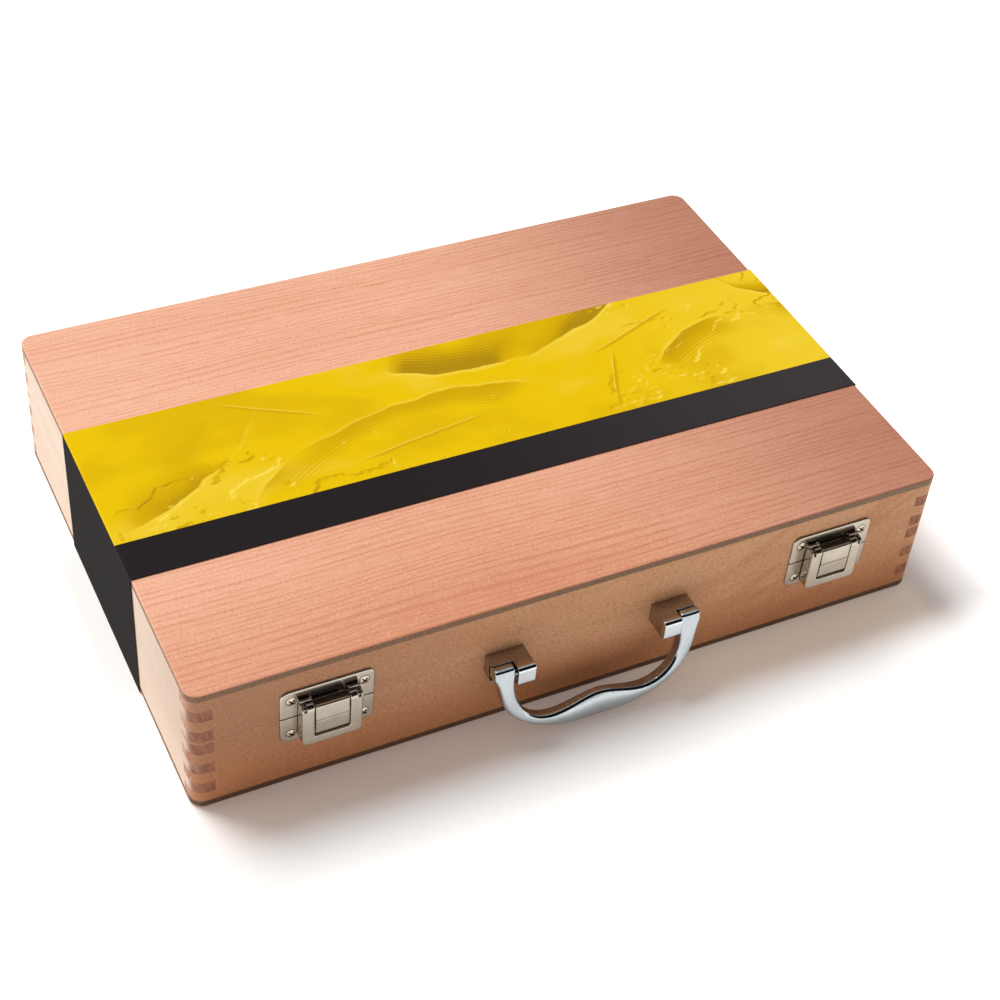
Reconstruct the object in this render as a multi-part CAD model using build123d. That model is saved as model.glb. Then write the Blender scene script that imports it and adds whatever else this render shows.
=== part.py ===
from build123d import *
import os
from math import asin, cos, pi, sin

# A wooden acrylic paint set: a finger-jointed beech box with a hinged lid, two draw latches, a
# bail handle and a sliding card band, with tubes, brushes, a palette and a palette knife inside.
# Millimetres. +X is to the right, -Y to the front, +Z up. The origin is on the table, under the
# middle of the box.

# Wooden box
BOX_W = 355.0
BOX_D = 240.0
WALL = 10.0
PLY = 3.5
BASE_SIDE_H = 36.9
LID_SIDE_H = 24.2
LID_GAP = 0.1
CORNER_R = 6.0
SHEET_ROUND = 0.7
FINGER = 6.0
BASE_FIRST_TAB = 5.5
LID_FIRST_TAB = 6.0

# Card band round the box
CARD = 0.4
CARD_GAP = 0.2
CARD_BEND = 0.6
BAND_W = 97.0
BAND_FROM_FRONT = 69.5
BAND_SPLIT = 0.3

# Handle
HANDLE_SHIFT = 0.8
POST_SPACING = 80.0
POST_W = 18.0
POST_H = 10.0
POST_OUT = 13.5
POST_CHEEK = 8.4
POST_ROUND = 0.5
POST_NOSE_R = 1.8
HANDLE_PIVOT_OUT = 9.3
HANDLE_PIVOT_UP = 36.2
BAIL_TILT = 12.0
BAIL_THICK = 6.5
BAIL_REACH = 35.3
ARM_END_R = 5.0
ARM_GAP = 0.6
ARM_OVERHANG = 0.6
ARM_CROWN = 0.1
ARM_EDGE_R = 1.2
FOREARM_IN = 1.5
FOREARM_DROP = 9.4
FOREARM_W = 7.5
FOREARM_CROWN = 0.3
FOREARM_EDGE_R = 1.6
ELBOW_IN = 7.3
ELBOW_UP = 13.3
ELBOW_W = 5.4
ELBOW_CROWN = 0.5
ELBOW_EDGE_R = 1.7
NECK_IN = 17.8
NECK_UP = 6.7
NECK_W = 5.3
NECK_CROWN = 0.5
NECK_EDGE_R = 1.7
SWELL_X = 14.6
SWELL_UP = 5.1
SWELL_W = 8.9
SWELL_CROWN = 0.9
SWELL_EDGE_R = 1.7
GRIP_W = 12.5
GRIP_CROWN = 1.3
GRIP_EDGE_R = 1.7
ARM_TOP_R = 1.2
POCKET_CLEAR = 0.4
HANDLE_PIN_R = 1.75
HANDLE_PIN_L = 14.0
HANDLE_SCREW_R = 2.0
HANDLE_SCREW_HEAD_R = 3.6
HANDLE_SCREW_HEAD_H = 2.2
HANDLE_SCREW_BITE = 6.5

# Draw latches; heights are counted from the parting line
LATCH_SHIFT = 1.8
LATCH_INSET = 56.5
PLATE_W = 41.4
PLATE_T = 1.0
PLATE_UP = 15.4
PLATE_DOWN = 14.9
PLATE_SEAM = 0.2
PLATE_CORNER = 4.0
PLATE_ROUND = 0.9
LATCH_SCREW_SPACING = 31.6
LATCH_SCREW_UP = 9.7
LATCH_SCREW_DOWN = 9.8
LEVER_W = 26.3
LEVER_OUT = 6.5
LEVER_DOWN = 13.7
LEVER_SHEET = 1.0
LEVER_FLANGE = 0.8
LEVER_CORNER = 2.6
LEVER_ROUND = 0.7
LEVER_PIVOT_OUT = 4.0
LEVER_PIVOT_UP = 6.8
WINDOW_W = 15.6
WINDOW_CORNER = 0.8
WINDOW_ROUND = 0.35
LEVER_BAR = 4.6
EAR_T = 1.0
EAR_GAP = 0.15
EAR_R = 1.7
EAR_FOOT_DOWN = 4.4
EAR_FOOT_OUT = 2.4
SADDLE_R = 4.2
SADDLE_T = 1.2
SADDLE_PLATE_GAP = 0.3
SADDLE_BEHIND = 0.6
SLOT_CLEAR = 0.3
LATCH_PIN_R = 0.8
PIN_CLEAR = 0.05
LINK_GAP = 0.5
LINK_SHEET = 0.9
LINK_PIVOT_OUT = 4.6
LINK_PIVOT_DOWN = 7.0
LINK_TOP_UP = 8.4
LINK_LEAN = 0.25
CREASE_W = 0.5
CREASE_DEEP = 0.3
LINK_LIP = 1.8
RIDGE_W = 13.0
RIDGE_OUT = 0.6
RIDGE_DROP = 0.9
LIP_GAP = 0.3

# Hinges
HINGE_INSET = 67.5
HINGE_W = 38.0
LEAF_H = 13.0
LEAF_T = 1.0
KNUCKLE_R = 2.6
KNUCKLE_L = 12.0
KNUCKLE_GAP = 0.2
HINGE_CLEAR = 0.3
HINGE_PIN_R = 1.2
HINGE_SCREW_SPACING = 26.0
HINGE_SCREW_UP = 7.8

# Small countersunk screws
SCREW_HEAD_R = 2.5
SCREW_DOME = 0.6
SCREW_R = 1.2
SCREW_L = 8.5
RECESS_W = 0.7
RECESS_L = 3.2
RECESS_DEEP = 0.8

# Divided inside
TUBE_BAY_D = 124.0
DIVIDER_T = 4.0
DIVIDER_H = 30.0
SHORT_DIVIDER_X = 22.0

# Paint tubes
TUBE_COUNT = 10
TUBE_R = 9.5
TUBE_L = 96.0
TUBE_ROUND_L = 40.0
CRIMP_T = 1.2
CRIMP_L = 8.0
TUBE_SHOULDER = 4.0
TUBE_NECK_R = 5.0
CAP_R = 6.5
CAP_L = 13.0
CAP_SKIRT = 3.0
CAP_CHAMFER = 0.8
CAP_RIM = 0.6
TUBE_END_GAP = 2.0

# Brushes
BRUSH_COUNT = 3
BRUSH_PITCH = 15.0
BRUSH_HANDLE_R = 3.9
BRUSH_BELLY = 0.8
BRUSH_TAIL_R = 1.8
FERRULE_L = 30.0
FERRULE_R = 3.2
GROOVE_PITCH = 4.0
GROOVE_W = 1.6
GROOVE_DEEP = 0.35
TUFT_L = 16.0
TUFT_BULGE = 0.5
TUFT_BELLY = 0.4
TUFT_TIP_R = 1.0
BRUSH_END_GAP = 3.0
TUFT_END_GAP = 6.5
BRUSH_FRONT_GAP = 12.0

# Palette
PALETTE_SIDE_GAP = 4.75
PALETTE_END_GAP = 4.0
PALETTE_T = 3.2
PALETTE_CORNER = 14.0
PALETTE_ROUND = 0.8
THUMB_R = 11.0
THUMB_INSET = 24.0

# Palette knife
BLADE_L = 62.0
BLADE_W = 19.0
BLADE_BELLY = 0.35
BLADE_T = 0.8
CRANK_RISE = 9.0
CRANK_RUN = 18.0
TANG_R = 1.6
TANG_BEND_R = 2.2
GRIP_L = 90.0
GRIP_R = 5.6
GRIP_WAIST = 0.55
GRIP_WAIST_R = 4.2
GRIP_COLLAR = 0.8
GRIP_COLLAR_R = 4.9
KNIFE_BACK_GAP = 14.0

# Places that follow from the sizes above
WOOD_Z = CARD + CARD_GAP
FLOOR_Z = WOOD_Z + PLY
PARTING_Z = FLOOR_Z + BASE_SIDE_H
LID_Z = PARTING_Z + LID_GAP
LID_SHEET_Z = LID_Z + LID_SIDE_H
LID_TOP_Z = LID_SHEET_Z + PLY
INNER_W = BOX_W - 2 * WALL
INNER_D = BOX_D - 2 * WALL
FRONT_Y = -BOX_D / 2
BACK_Y = BOX_D / 2
INNER_FRONT_Y = -INNER_D / 2
INNER_BACK_Y = INNER_D / 2
INNER_LEFT_X = -INNER_W / 2
LONG_DIVIDER_Y = INNER_BACK_Y - TUBE_BAY_D - DIVIDER_T / 2
BRUSH_BAY_W = SHORT_DIVIDER_X - DIVIDER_T / 2 - INNER_LEFT_X
BRUSH_HANDLE_L = BRUSH_BAY_W - BRUSH_END_GAP - FERRULE_L - TUFT_L - TUFT_END_GAP
PALETTE_BAY_W = INNER_W / 2 - SHORT_DIVIDER_X - DIVIDER_T / 2
PALETTE_BAY_D = LONG_DIVIDER_Y - DIVIDER_T / 2 - INNER_FRONT_Y
PALETTE_L = PALETTE_BAY_W - 2 * PALETTE_SIDE_GAP
PALETTE_D = PALETTE_BAY_D - 2 * PALETTE_END_GAP
HINGE_Y = BACK_Y + KNUCKLE_R + HINGE_CLEAR
HINGE_Z = (PARTING_Z + LID_Z) / 2
HANDLE_Y = FRONT_Y - HANDLE_PIVOT_OUT
HANDLE_Z = WOOD_Z + HANDLE_PIVOT_UP
LEVER_PIN_Y = FRONT_Y - LEVER_PIVOT_OUT
LEVER_PIN_Z = PARTING_Z + LEVER_PIVOT_UP
LINK_PIN_Y = FRONT_Y - LINK_PIVOT_OUT
LINK_PIN_Z = PARTING_Z - LINK_PIVOT_DOWN
LATCHES = {
    "left": LATCH_SHIFT - BOX_W / 2 + LATCH_INSET,
    "right": LATCH_SHIFT + BOX_W / 2 - LATCH_INSET,
}
POSTS = {
    "left": HANDLE_SHIFT - POST_SPACING / 2,
    "right": HANDLE_SHIFT + POST_SPACING / 2,
}
HINGES = {
    "left": HINGE_INSET - BOX_W / 2,
    "right": BOX_W / 2 - HINGE_INSET,
}
SIDES = {
    "left": -1,
    "right": 1,
}


def block(x0, x1, y0, y1, z0, z1):
    """A box between two opposite corners."""
    return Pos((x0 + x1) / 2, (y0 + y1) / 2, (z0 + z1) / 2) * Box(x1 - x0, y1 - y0, z1 - z0)


def rod(radius, x0, x1, y, z):
    """A round bar along X."""
    return Pos((x0 + x1) / 2, y, z) * Rot(0, 90, 0) * Cylinder(radius, x1 - x0)


def side_profile(points, x0, x1):
    """A plate along X whose outline is given as distance out of the front face and height."""
    outline = Polyline([(FRONT_Y - out, height) for out, height in points], close=True)
    return Pos(x0, 0, 0) * extrude(Plane.YZ * make_face(outline), x1 - x0)


def front_plate(width, low, high, out_low, out_high, corner, which):
    """An upright plate parallel to the front, rounded at its top or its bottom corners."""
    plate = block(-width / 2, width / 2, FRONT_Y - out_high, FRONT_Y - out_low, low, high)
    ends = plate.edges().filter_by(Axis.Y).group_by(Axis.Z)[which]
    return fillet(ends, corner)


# Wooden box
def side_fingers(sheet_z, parting_z, first_tab):
    """Height bands in which the side walls' fingers reach the front and the back."""
    way = 1 if parting_z > sheet_z else -1
    start = sheet_z + way * first_tab
    bands = []
    while way * (parting_z - start) > 0:
        end = start + way * min(FINGER, abs(parting_z - start))
        bands.append((min(start, end), max(start, end)))
        start += way * 2 * FINGER
    return bands


def wall_ring(low, high):
    """All four walls as one ring with rounded upright corners."""
    outside = extrude(RectangleRounded(BOX_W, BOX_D, CORNER_R), high - low)
    inside = extrude(Rectangle(INNER_W, INNER_D), high - low)
    return Pos(0, 0, low) * (outside - inside)


def cross_wall(low, high, fingers, front):
    """The front or the back wall, notched where the side walls' fingers come through."""
    y0, y1 = (FRONT_Y, INNER_FRONT_Y) if front else (INNER_BACK_Y, BACK_Y)
    wall = wall_ring(low, high) & block(-BOX_W / 2, BOX_W / 2, y0, y1, low, high)
    for z0, z1 in fingers:
        for side in SIDES.values():
            x0, x1 = sorted((side * INNER_W / 2, side * BOX_W / 2))
            wall -= block(x0, x1, y0, y1, z0, z1)
    return wall


def side_wall(low, high, side, front, back):
    """The left or the right wall, which fills what the front and back walls leave."""
    x0, x1 = sorted((side * INNER_W / 2, side * BOX_W / 2))
    wall = wall_ring(low, high) & block(x0, x1, FRONT_Y, BACK_Y, low, high)
    return wall - front - back


def sheet(low, outer):
    """A plywood sheet with its outer face's edges rounded; outer is the face's group by height."""
    board = Pos(0, 0, low) * extrude(RectangleRounded(BOX_W, BOX_D, CORNER_R), PLY)
    return fillet(board.edges().group_by(Axis.Z)[outer], SHEET_ROUND)


def shell_walls(low, high, fingers):
    """Front, back, left and right walls of the base or of the lid."""
    front = cross_wall(low, high, fingers, True)
    back = cross_wall(low, high, fingers, False)
    left = side_wall(low, high, SIDES["left"], front, back)
    right = side_wall(low, high, SIDES["right"], front, back)
    return front, back, left, right


# Card band
def band_loop():
    """The whole band, a flat loop of card round the box."""
    inner_w = BOX_W + 2 * CARD_GAP
    inner_h = LID_TOP_Z - WOOD_Z + 2 * CARD_GAP
    outer = RectangleRounded(inner_w + 2 * CARD, inner_h + 2 * CARD, CARD_BEND + CARD)
    loop = Plane.XZ * (outer - RectangleRounded(inner_w, inner_h, CARD_BEND))
    middle_z = (WOOD_Z + LID_TOP_Z) / 2
    return Pos(0, FRONT_Y + BAND_FROM_FRONT + BAND_W, middle_z) * extrude(loop, BAND_W)


def band_half(low, high):
    """The stretch of the band between two heights."""
    return band_loop() & block(-BOX_W, BOX_W, FRONT_Y, BACK_Y, low, high)


# Screws
def screw_blank(head_r, dome, shank_r, length):
    """A countersunk screw with a domed head, on Z, whose rim is at the origin's height."""
    cone = head_r - shank_r
    ball = (head_r ** 2 + dome ** 2) / (2 * dome)
    middle = (ball * sin(asin(head_r / ball) / 2), dome - ball * (1 - cos(asin(head_r / ball) / 2)))
    top = ThreePointArc((0, dome), middle, (head_r, 0))
    rest = Polyline((head_r, 0), (shank_r, -cone), (shank_r, shank_r - length), (0, -length), (0, dome))
    return revolve(Plane.XZ * make_face([top, rest]), Axis.Z)


def cross_recess():
    """The cross-shaped recess for a screwdriver, with its middle at the origin."""
    return Box(RECESS_L, RECESS_W, 2 * RECESS_DEEP) + Box(RECESS_W, RECESS_L, 2 * RECESS_DEEP)


def small_screw():
    """The small screw with its cross recess."""
    blank = screw_blank(SCREW_HEAD_R, SCREW_DOME, SCREW_R, SCREW_L)
    return blank - Pos(0, 0, SCREW_DOME) * Rot(0, 0, 45) * cross_recess()


def latch_screw_places(height):
    """Where the latch screws' rims lie on one pair of plates, heads out to the front."""
    half = LATCH_SCREW_SPACING / 2
    return [
        Pos(x + side * half, FRONT_Y - PLATE_T, height) * Rot(90, 0, 0)
        for x in LATCHES.values()
        for side in SIDES.values()
    ]


def hinge_screw_places(height):
    """Where the hinge screws' rims lie on one pair of leaves, heads out to the back."""
    half = HINGE_SCREW_SPACING / 2
    return [
        Pos(x + side * half, BACK_Y + LEAF_T, height) * Rot(-90, 0, 0)
        for x in HINGES.values()
        for side in SIDES.values()
    ]


def handle_screw_places():
    """Where the handle screws' heads lie on the front wall's inner face, behind the posts' cheeks."""
    middle = (POST_W - POST_CHEEK) / 2
    return [
        Pos(x - SIDES[name] * middle, INNER_FRONT_Y, HANDLE_Z) * Rot(90, 0, 0)
        for name, x in POSTS.items()
    ]


def handle_screw():
    """A pan-head screw from inside the box into a handle post; the head is behind the origin."""
    shank_l = WALL + HANDLE_SCREW_BITE
    head = Pos(0, 0, -HANDLE_SCREW_HEAD_H / 2) * Cylinder(HANDLE_SCREW_HEAD_R, HANDLE_SCREW_HEAD_H)
    head = fillet(head.edges().group_by(Axis.Z)[0], HANDLE_SCREW_HEAD_H / 2)
    shank = Pos(0, 0, shank_l / 2) * Cylinder(HANDLE_SCREW_R, shank_l)
    return head + shank - Pos(0, 0, -HANDLE_SCREW_HEAD_H) * cross_recess()


def solids_at(piece, places):
    """Copies of one piece at several places, as one group."""
    return Compound(children=[place * piece for place in places])


def drilled(piece, tool, places):
    """A piece with the same hole made at several places."""
    for place in places:
        piece -= place * tool
    return piece


# Handle
def handle_post(x, side):
    """A post whose outer half is a pocket for the end of the bail's arm."""
    half = POST_W / 2
    low, high = HANDLE_Z - POST_H / 2, HANDLE_Z + POST_H / 2
    post = block(x - half, x + half, FRONT_Y - POST_OUT, FRONT_Y, low, high)
    post = fillet(post.edges().group_by(Axis.Y)[0].filter_by(Axis.X), POST_NOSE_R)
    for which in (0, -1):
        flank = post.faces().sort_by(Axis.X)[which]
        post = fillet(flank.edges().sort_by(Axis.Y)[:-1], POST_ROUND)
    start = x - side * (half - POST_CHEEK)
    x0, x1 = sorted((start, x + side * POST_W))
    pocket = rod(ARM_END_R + POCKET_CLEAR, x0, x1, HANDLE_Y, HANDLE_Z)
    pocket += block(x0, x1, FRONT_Y - 2 * POST_OUT, HANDLE_Y, low - POST_H, high + POST_H)
    seat = block(x0, x1, 0, BAIL_THICK / 2 + POCKET_CLEAR, -2 * POST_H, 0)
    pocket += Pos(0, HANDLE_Y, HANDLE_Z) * Rot(-BAIL_TILT, 0, 0) * seat
    return post - pocket - handle_pin(x, side)


def handle_pin(x, side):
    """The pin that carries one arm of the bail, set in the post's cheek."""
    face = x - side * (POST_W / 2 - POST_CHEEK)
    x0, x1 = sorted((face - side * HANDLE_PIN_L / 2, face + side * HANDLE_PIN_L / 2))
    return rod(HANDLE_PIN_R, x0, x1, HANDLE_Y, HANDLE_Z)


def bail_section(width, crown, edge_r):
    """The bail's cross-section: bowed front and back faces between two rounded edges."""
    half = width / 2
    middle = BAIL_THICK / 2
    rim = middle - crown
    front = ThreePointArc((-half, -rim), (0, -middle), (half, -rim))
    back = ThreePointArc((-half, rim), (0, middle), (half, rim))
    face = make_face([front, back, Line((-half, -rim), (-half, rim)), Line((half, -rim), (half, rim))])
    return fillet(face.vertices(), edge_r)


def bail_stations():
    """Half the bail from pivot to grip: X and drop of the middle line, width, crown and edge radius."""
    arm_in = POST_SPACING / 2 - POST_W / 2 + POST_CHEEK + ARM_GAP
    arm_out = POST_SPACING / 2 + POST_W / 2 + ARM_OVERHANG
    arm_x = (arm_in + arm_out) / 2
    return [
        (arm_x, 0, arm_out - arm_in, ARM_CROWN, ARM_EDGE_R),
        (arm_x - FOREARM_IN, FOREARM_DROP, FOREARM_W, FOREARM_CROWN, FOREARM_EDGE_R),
        (arm_x - ELBOW_IN, BAIL_REACH - ELBOW_UP, ELBOW_W, ELBOW_CROWN, ELBOW_EDGE_R),
        (arm_x - NECK_IN, BAIL_REACH - NECK_UP, NECK_W, NECK_CROWN, NECK_EDGE_R),
        (SWELL_X, BAIL_REACH - SWELL_UP, SWELL_W, SWELL_CROWN, SWELL_EDGE_R),
        (0, BAIL_REACH - GRIP_W / 2, GRIP_W, GRIP_CROWN, GRIP_EDGE_R),
    ]


def bail_body():
    """The bail seen square on: cross-sections along its bent middle line, and an upright end each side."""
    half = bail_stations()
    stations = half + [(-x, *rest) for x, *rest in reversed(half[:-1])]
    upright = (0, 0, 1)
    line = Spline([(x, 0, -drop) for x, drop, *_ in stations], tangents=[(0, 0, -1), upright])
    sections = []
    for x, drop, width, crown, edge_r in stations:
        along = line.tangent_at((x, 0, -drop))
        plane = Plane((x, 0, -drop), x_dir=along.cross(Vector(0, 1, 0)), z_dir=along)
        sections.append(plane * bail_section(width, crown, edge_r))
    body = loft(sections)
    for end in (sections[0], sections[-1]):
        body += extrude(end, ARM_END_R, dir=upright)
    return body


def handle_bail():
    """The bail, hanging with its grip tilted out from the box."""
    reach = 2 * BAIL_REACH
    ends = rod(ARM_END_R, -POST_SPACING, POST_SPACING, 0, 0)
    keep = ends + block(-POST_SPACING, POST_SPACING, -reach, reach, -reach, 0)
    solid = bail_body() & keep
    brows = solid.edges().filter_by(lambda edge: edge.center().Z > 0 and edge.length > ARM_END_R)
    brows = brows.sort_by(Axis.Z)[-2 * len(POSTS):]
    solid = Pos(HANDLE_SHIFT, HANDLE_Y, HANDLE_Z) * Rot(-BAIL_TILT, 0, 0) * fillet(brows, ARM_TOP_R)
    for name, x in POSTS.items():
        side = SIDES[name]
        face = x - side * (POST_W / 2 - POST_CHEEK)
        x0, x1 = sorted((face, face + side * (HANDLE_PIN_L / 2 + ARM_GAP)))
        solid -= rod(HANDLE_PIN_R + PIN_CLEAR, x0, x1, HANDLE_Y, HANDLE_Z)
    return solid


# Latches, each modelled with its middle on X = 0
def latch_saddle(inner_r, x0, x1):
    """The curved guard behind and over a barrel, clear of the keeper plate."""
    back = FRONT_Y - PLATE_T - SADDLE_PLATE_GAP
    front = LEVER_PIN_Y + SADDLE_BEHIND
    saddle = rod(SADDLE_R, x0, x1, LEVER_PIN_Y, LEVER_PIN_Z)
    if inner_r:
        saddle -= rod(inner_r, x0, x1, LEVER_PIN_Y, LEVER_PIN_Z)
    return saddle & block(x0, x1, front, back, LEVER_PIN_Z, LEVER_PIN_Z + SADDLE_R)


def latch_base_plate():
    """The lower plate, with two ears that reach up past the parting line to carry the lever."""
    top = PARTING_Z - PLATE_SEAM
    plate = front_plate(PLATE_W, PARTING_Z - PLATE_DOWN, top, 0, PLATE_T, PLATE_CORNER, 0)
    plate = fillet(plate.edges().group_by(Axis.Y)[0].sort_by(Axis.Z)[:-1], PLATE_ROUND)
    foot = PARTING_Z - EAR_FOOT_DOWN
    neck = LEVER_PIVOT_OUT - EAR_R
    outline = [
        (PLATE_T / 2, foot),
        (PLATE_T / 2, top),
        ((PLATE_T + neck) / 2, top),
        (neck, LEVER_PIN_Z),
        (LEVER_PIVOT_OUT + EAR_R, LEVER_PIN_Z),
        (EAR_FOOT_OUT, foot),
    ]
    outside = LEVER_W / 2 - LEVER_FLANGE - EAR_GAP
    for side in SIDES.values():
        x0, x1 = sorted((side * (outside - EAR_T), side * outside))
        ear = side_profile(outline, x0, x1) + rod(EAR_R, x0, x1, LEVER_PIN_Y, LEVER_PIN_Z)
        ear += latch_saddle(0, x0, x1)
        plate += ear - rod(LATCH_PIN_R + PIN_CLEAR, x0, x1, LEVER_PIN_Y, LEVER_PIN_Z)
        x0, x1 = sorted((side * (WINDOW_W / 2 + EAR_GAP), side * LEVER_W / 2))
        plate += latch_saddle(SADDLE_R - SADDLE_T, x0, x1)
    return plate


def latch_keeper_plate():
    """The upper plate on the lid, with the pressed ridge that the link's lip draws on."""
    low, high = LID_Z + PLATE_SEAM, PARTING_Z + PLATE_UP
    plate = front_plate(PLATE_W, low, high, 0, PLATE_T, PLATE_CORNER, -1)
    plate = fillet(plate.edges().group_by(Axis.Y)[0].sort_by(Axis.Z)[1:], PLATE_ROUND)
    ridge_r = RIDGE_DROP
    ridge_z = PARTING_Z + LINK_TOP_UP - LINK_LIP - LIP_GAP - ridge_r
    ridge = rod(ridge_r, -RIDGE_W / 2, RIDGE_W / 2, FRONT_Y - PLATE_T - RIDGE_OUT + ridge_r, ridge_z)
    in_front = block(-RIDGE_W, RIDGE_W, FRONT_Y - LEVER_OUT, FRONT_Y - PLATE_T / 2, low, high)
    return plate + (ridge & in_front)


def latch_lever():
    """The lever: a pressed U-shaped frame with side flanges and a barrel at the top of each arm."""
    barrel_r = LEVER_OUT - LEVER_PIVOT_OUT
    back = LEVER_PIVOT_OUT - barrel_r
    low = PARTING_Z - LEVER_DOWN
    half = LEVER_W / 2
    shell = front_plate(LEVER_W, low, LEVER_PIN_Z, back, LEVER_OUT, LEVER_CORNER, 0)
    front_edges = shell.edges().group_by(Axis.Y)[0]
    top_edge = front_edges.group_by(Axis.Z)[-1]
    shell = fillet(front_edges - top_edge, LEVER_ROUND)
    inside = front_plate(
        LEVER_W - 2 * LEVER_FLANGE,
        low + LEVER_FLANGE,
        LEVER_PIN_Z,
        0,
        LEVER_OUT - LEVER_SHEET,
        LEVER_CORNER - LEVER_FLANGE,
        0,
    )
    window_low = low + LEVER_BAR
    window = front_plate(WINDOW_W, window_low, LEVER_PIN_Z, 0, LEVER_OUT, WINDOW_CORNER, 0)
    lever = shell - inside - window
    rim = lever.edges().group_by(Axis.Y)[0].filter_by(lambda edge: abs(edge.center().X) <= WINDOW_W / 2)
    rim = [edge for edge in rim if window_low - PIN_CLEAR < edge.center().Z < LEVER_PIN_Z - WINDOW_ROUND]
    lever = fillet(rim, WINDOW_ROUND)
    slot_out = half - LEVER_FLANGE
    slot_in = slot_out - EAR_T - 2 * EAR_GAP
    for side in SIDES.values():
        for near, far in ((WINDOW_W / 2, slot_in), (slot_out, half)):
            x0, x1 = sorted((side * near, side * far))
            lever += rod(barrel_r, x0, x1, LEVER_PIN_Y, LEVER_PIN_Z)
        x0, x1 = sorted((side * slot_in, side * slot_out))
        lever -= rod(EAR_R + SLOT_CLEAR, x0, x1, LEVER_PIN_Y, LEVER_PIN_Z)
    lever -= rod(LATCH_PIN_R, -half, half, LEVER_PIN_Y, LEVER_PIN_Z)
    return lever - rod(LATCH_PIN_R, -half, half, LINK_PIN_Y, LINK_PIN_Z)


def latch_lever_pins(x):
    """Two short pins, one through each barrel and its ear."""
    half = LEVER_W / 2
    pins = []
    for side in SIDES.values():
        x0, x1 = sorted((side * WINDOW_W / 2, side * half))
        pins.append(rod(LATCH_PIN_R, x + x0, x + x1, LEVER_PIN_Y, LEVER_PIN_Z))
    return Compound(children=pins)


def latch_link_pin():
    """The long pin on which the hook link turns, held by the lever's side flanges."""
    return rod(LATCH_PIN_R, -LEVER_W / 2, LEVER_W / 2, LINK_PIN_Y, LINK_PIN_Z)


def latch_link():
    """The hook link: rolled round its pin, creased at the parting line, folded back to a lip."""
    bore = LATCH_PIN_R + PIN_CLEAR
    roll = bore + LINK_SHEET
    face = LINK_PIVOT_OUT + roll
    crease = face + LINK_LEAN
    top = PARTING_Z + LINK_TOP_UP
    lip_out = PLATE_T + RIDGE_OUT + LIP_GAP
    half = WINDOW_W / 2 - LINK_GAP
    outline = [
        (face, LINK_PIN_Z),
        (crease, PARTING_Z),
        (face, top),
        (lip_out, top),
        (lip_out, top - LINK_LIP),
        (lip_out + LINK_SHEET, top - LINK_LIP),
        (lip_out + LINK_SHEET, top - LINK_SHEET),
        (face - LINK_SHEET, top - LINK_SHEET),
        (crease - LINK_SHEET, PARTING_Z),
        (face - LINK_SHEET, LINK_PIN_Z),
    ]
    link = side_profile(outline, -half, half)
    fold = link.edges().filter_by(Axis.X).sort_by(Axis.Y)[:6].sort_by(Axis.Z)[-1]
    link = fillet(fold, LINK_SHEET)
    link += rod(roll, -half, half, LINK_PIN_Y, LINK_PIN_Z)
    groove = side_profile([
        (crease - CREASE_DEEP, PARTING_Z - CREASE_W / 2),
        (crease + CREASE_DEEP, PARTING_Z - CREASE_W),
        (crease + CREASE_DEEP, PARTING_Z + CREASE_W / 2),
        (crease - CREASE_DEEP, PARTING_Z + CREASE_W / 2),
    ], -half, half)
    return link - groove - rod(bore, -half, half, LINK_PIN_Y, LINK_PIN_Z)


# Hinges, each modelled with its middle on X = 0
def hinge_leaf(low, high):
    """A flat leaf on the box's back, before its knuckles."""
    leaf = block(-HINGE_W / 2, HINGE_W / 2, BACK_Y, BACK_Y + LEAF_T, low, high)
    far = -1 if high > HINGE_Z else 0
    return fillet(leaf.edges().filter_by(Axis.Y).group_by(Axis.Z)[far], 2 * LEAF_T)


def knuckle_room(x0, x1):
    """The space that a turning knuckle of the other leaf needs."""
    return rod(KNUCKLE_R + HINGE_CLEAR, x0 - KNUCKLE_GAP, x1 + KNUCKLE_GAP, HINGE_Y, HINGE_Z)


def knuckle(x0, x1, wood_z):
    """A knuckle on the hinge's axis with the web that joins it to its leaf."""
    web = block(x0, x1, BACK_Y, HINGE_Y, min(wood_z, HINGE_Z), max(wood_z, HINGE_Z))
    web &= rod(KNUCKLE_R + HINGE_CLEAR, x0, x1, HINGE_Y, HINGE_Z)
    return rod(KNUCKLE_R, x0, x1, HINGE_Y, HINGE_Z) + web


def hinge_base_leaf():
    """The leaf on the base, which holds the pin in two outer knuckles."""
    half = KNUCKLE_L / 2
    leaf = hinge_leaf(HINGE_Z - LEAF_H, HINGE_Z) - knuckle_room(-half, half)
    for side in SIDES.values():
        x0, x1 = sorted((side * (half + KNUCKLE_GAP), side * HINGE_W / 2))
        leaf += knuckle(x0, x1, HINGE_Z - KNUCKLE_R / 2)
    return leaf - hinge_pin()


def hinge_lid_leaf():
    """The leaf on the lid, which turns on the pin with one middle knuckle."""
    half = KNUCKLE_L / 2
    leaf = hinge_leaf(HINGE_Z, HINGE_Z + LEAF_H)
    for side in SIDES.values():
        x0, x1 = sorted((side * half, side * HINGE_W))
        leaf -= rod(KNUCKLE_R + HINGE_CLEAR, x0, x1, HINGE_Y, HINGE_Z)
    leaf += knuckle(-half, half, HINGE_Z + KNUCKLE_R / 2)
    return leaf - rod(HINGE_PIN_R + PIN_CLEAR, -HINGE_W, HINGE_W, HINGE_Y, HINGE_Z)


def hinge_pin():
    """The hinge's pin, as long as the hinge."""
    return rod(HINGE_PIN_R, -HINGE_W / 2, HINGE_W / 2, HINGE_Y, HINGE_Z)


# Inside
def long_divider():
    """The divider between the tubes and the tools."""
    y0, y1 = LONG_DIVIDER_Y - DIVIDER_T / 2, LONG_DIVIDER_Y + DIVIDER_T / 2
    return block(-INNER_W / 2, INNER_W / 2, y0, y1, FLOOR_Z, FLOOR_Z + DIVIDER_H)


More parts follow.
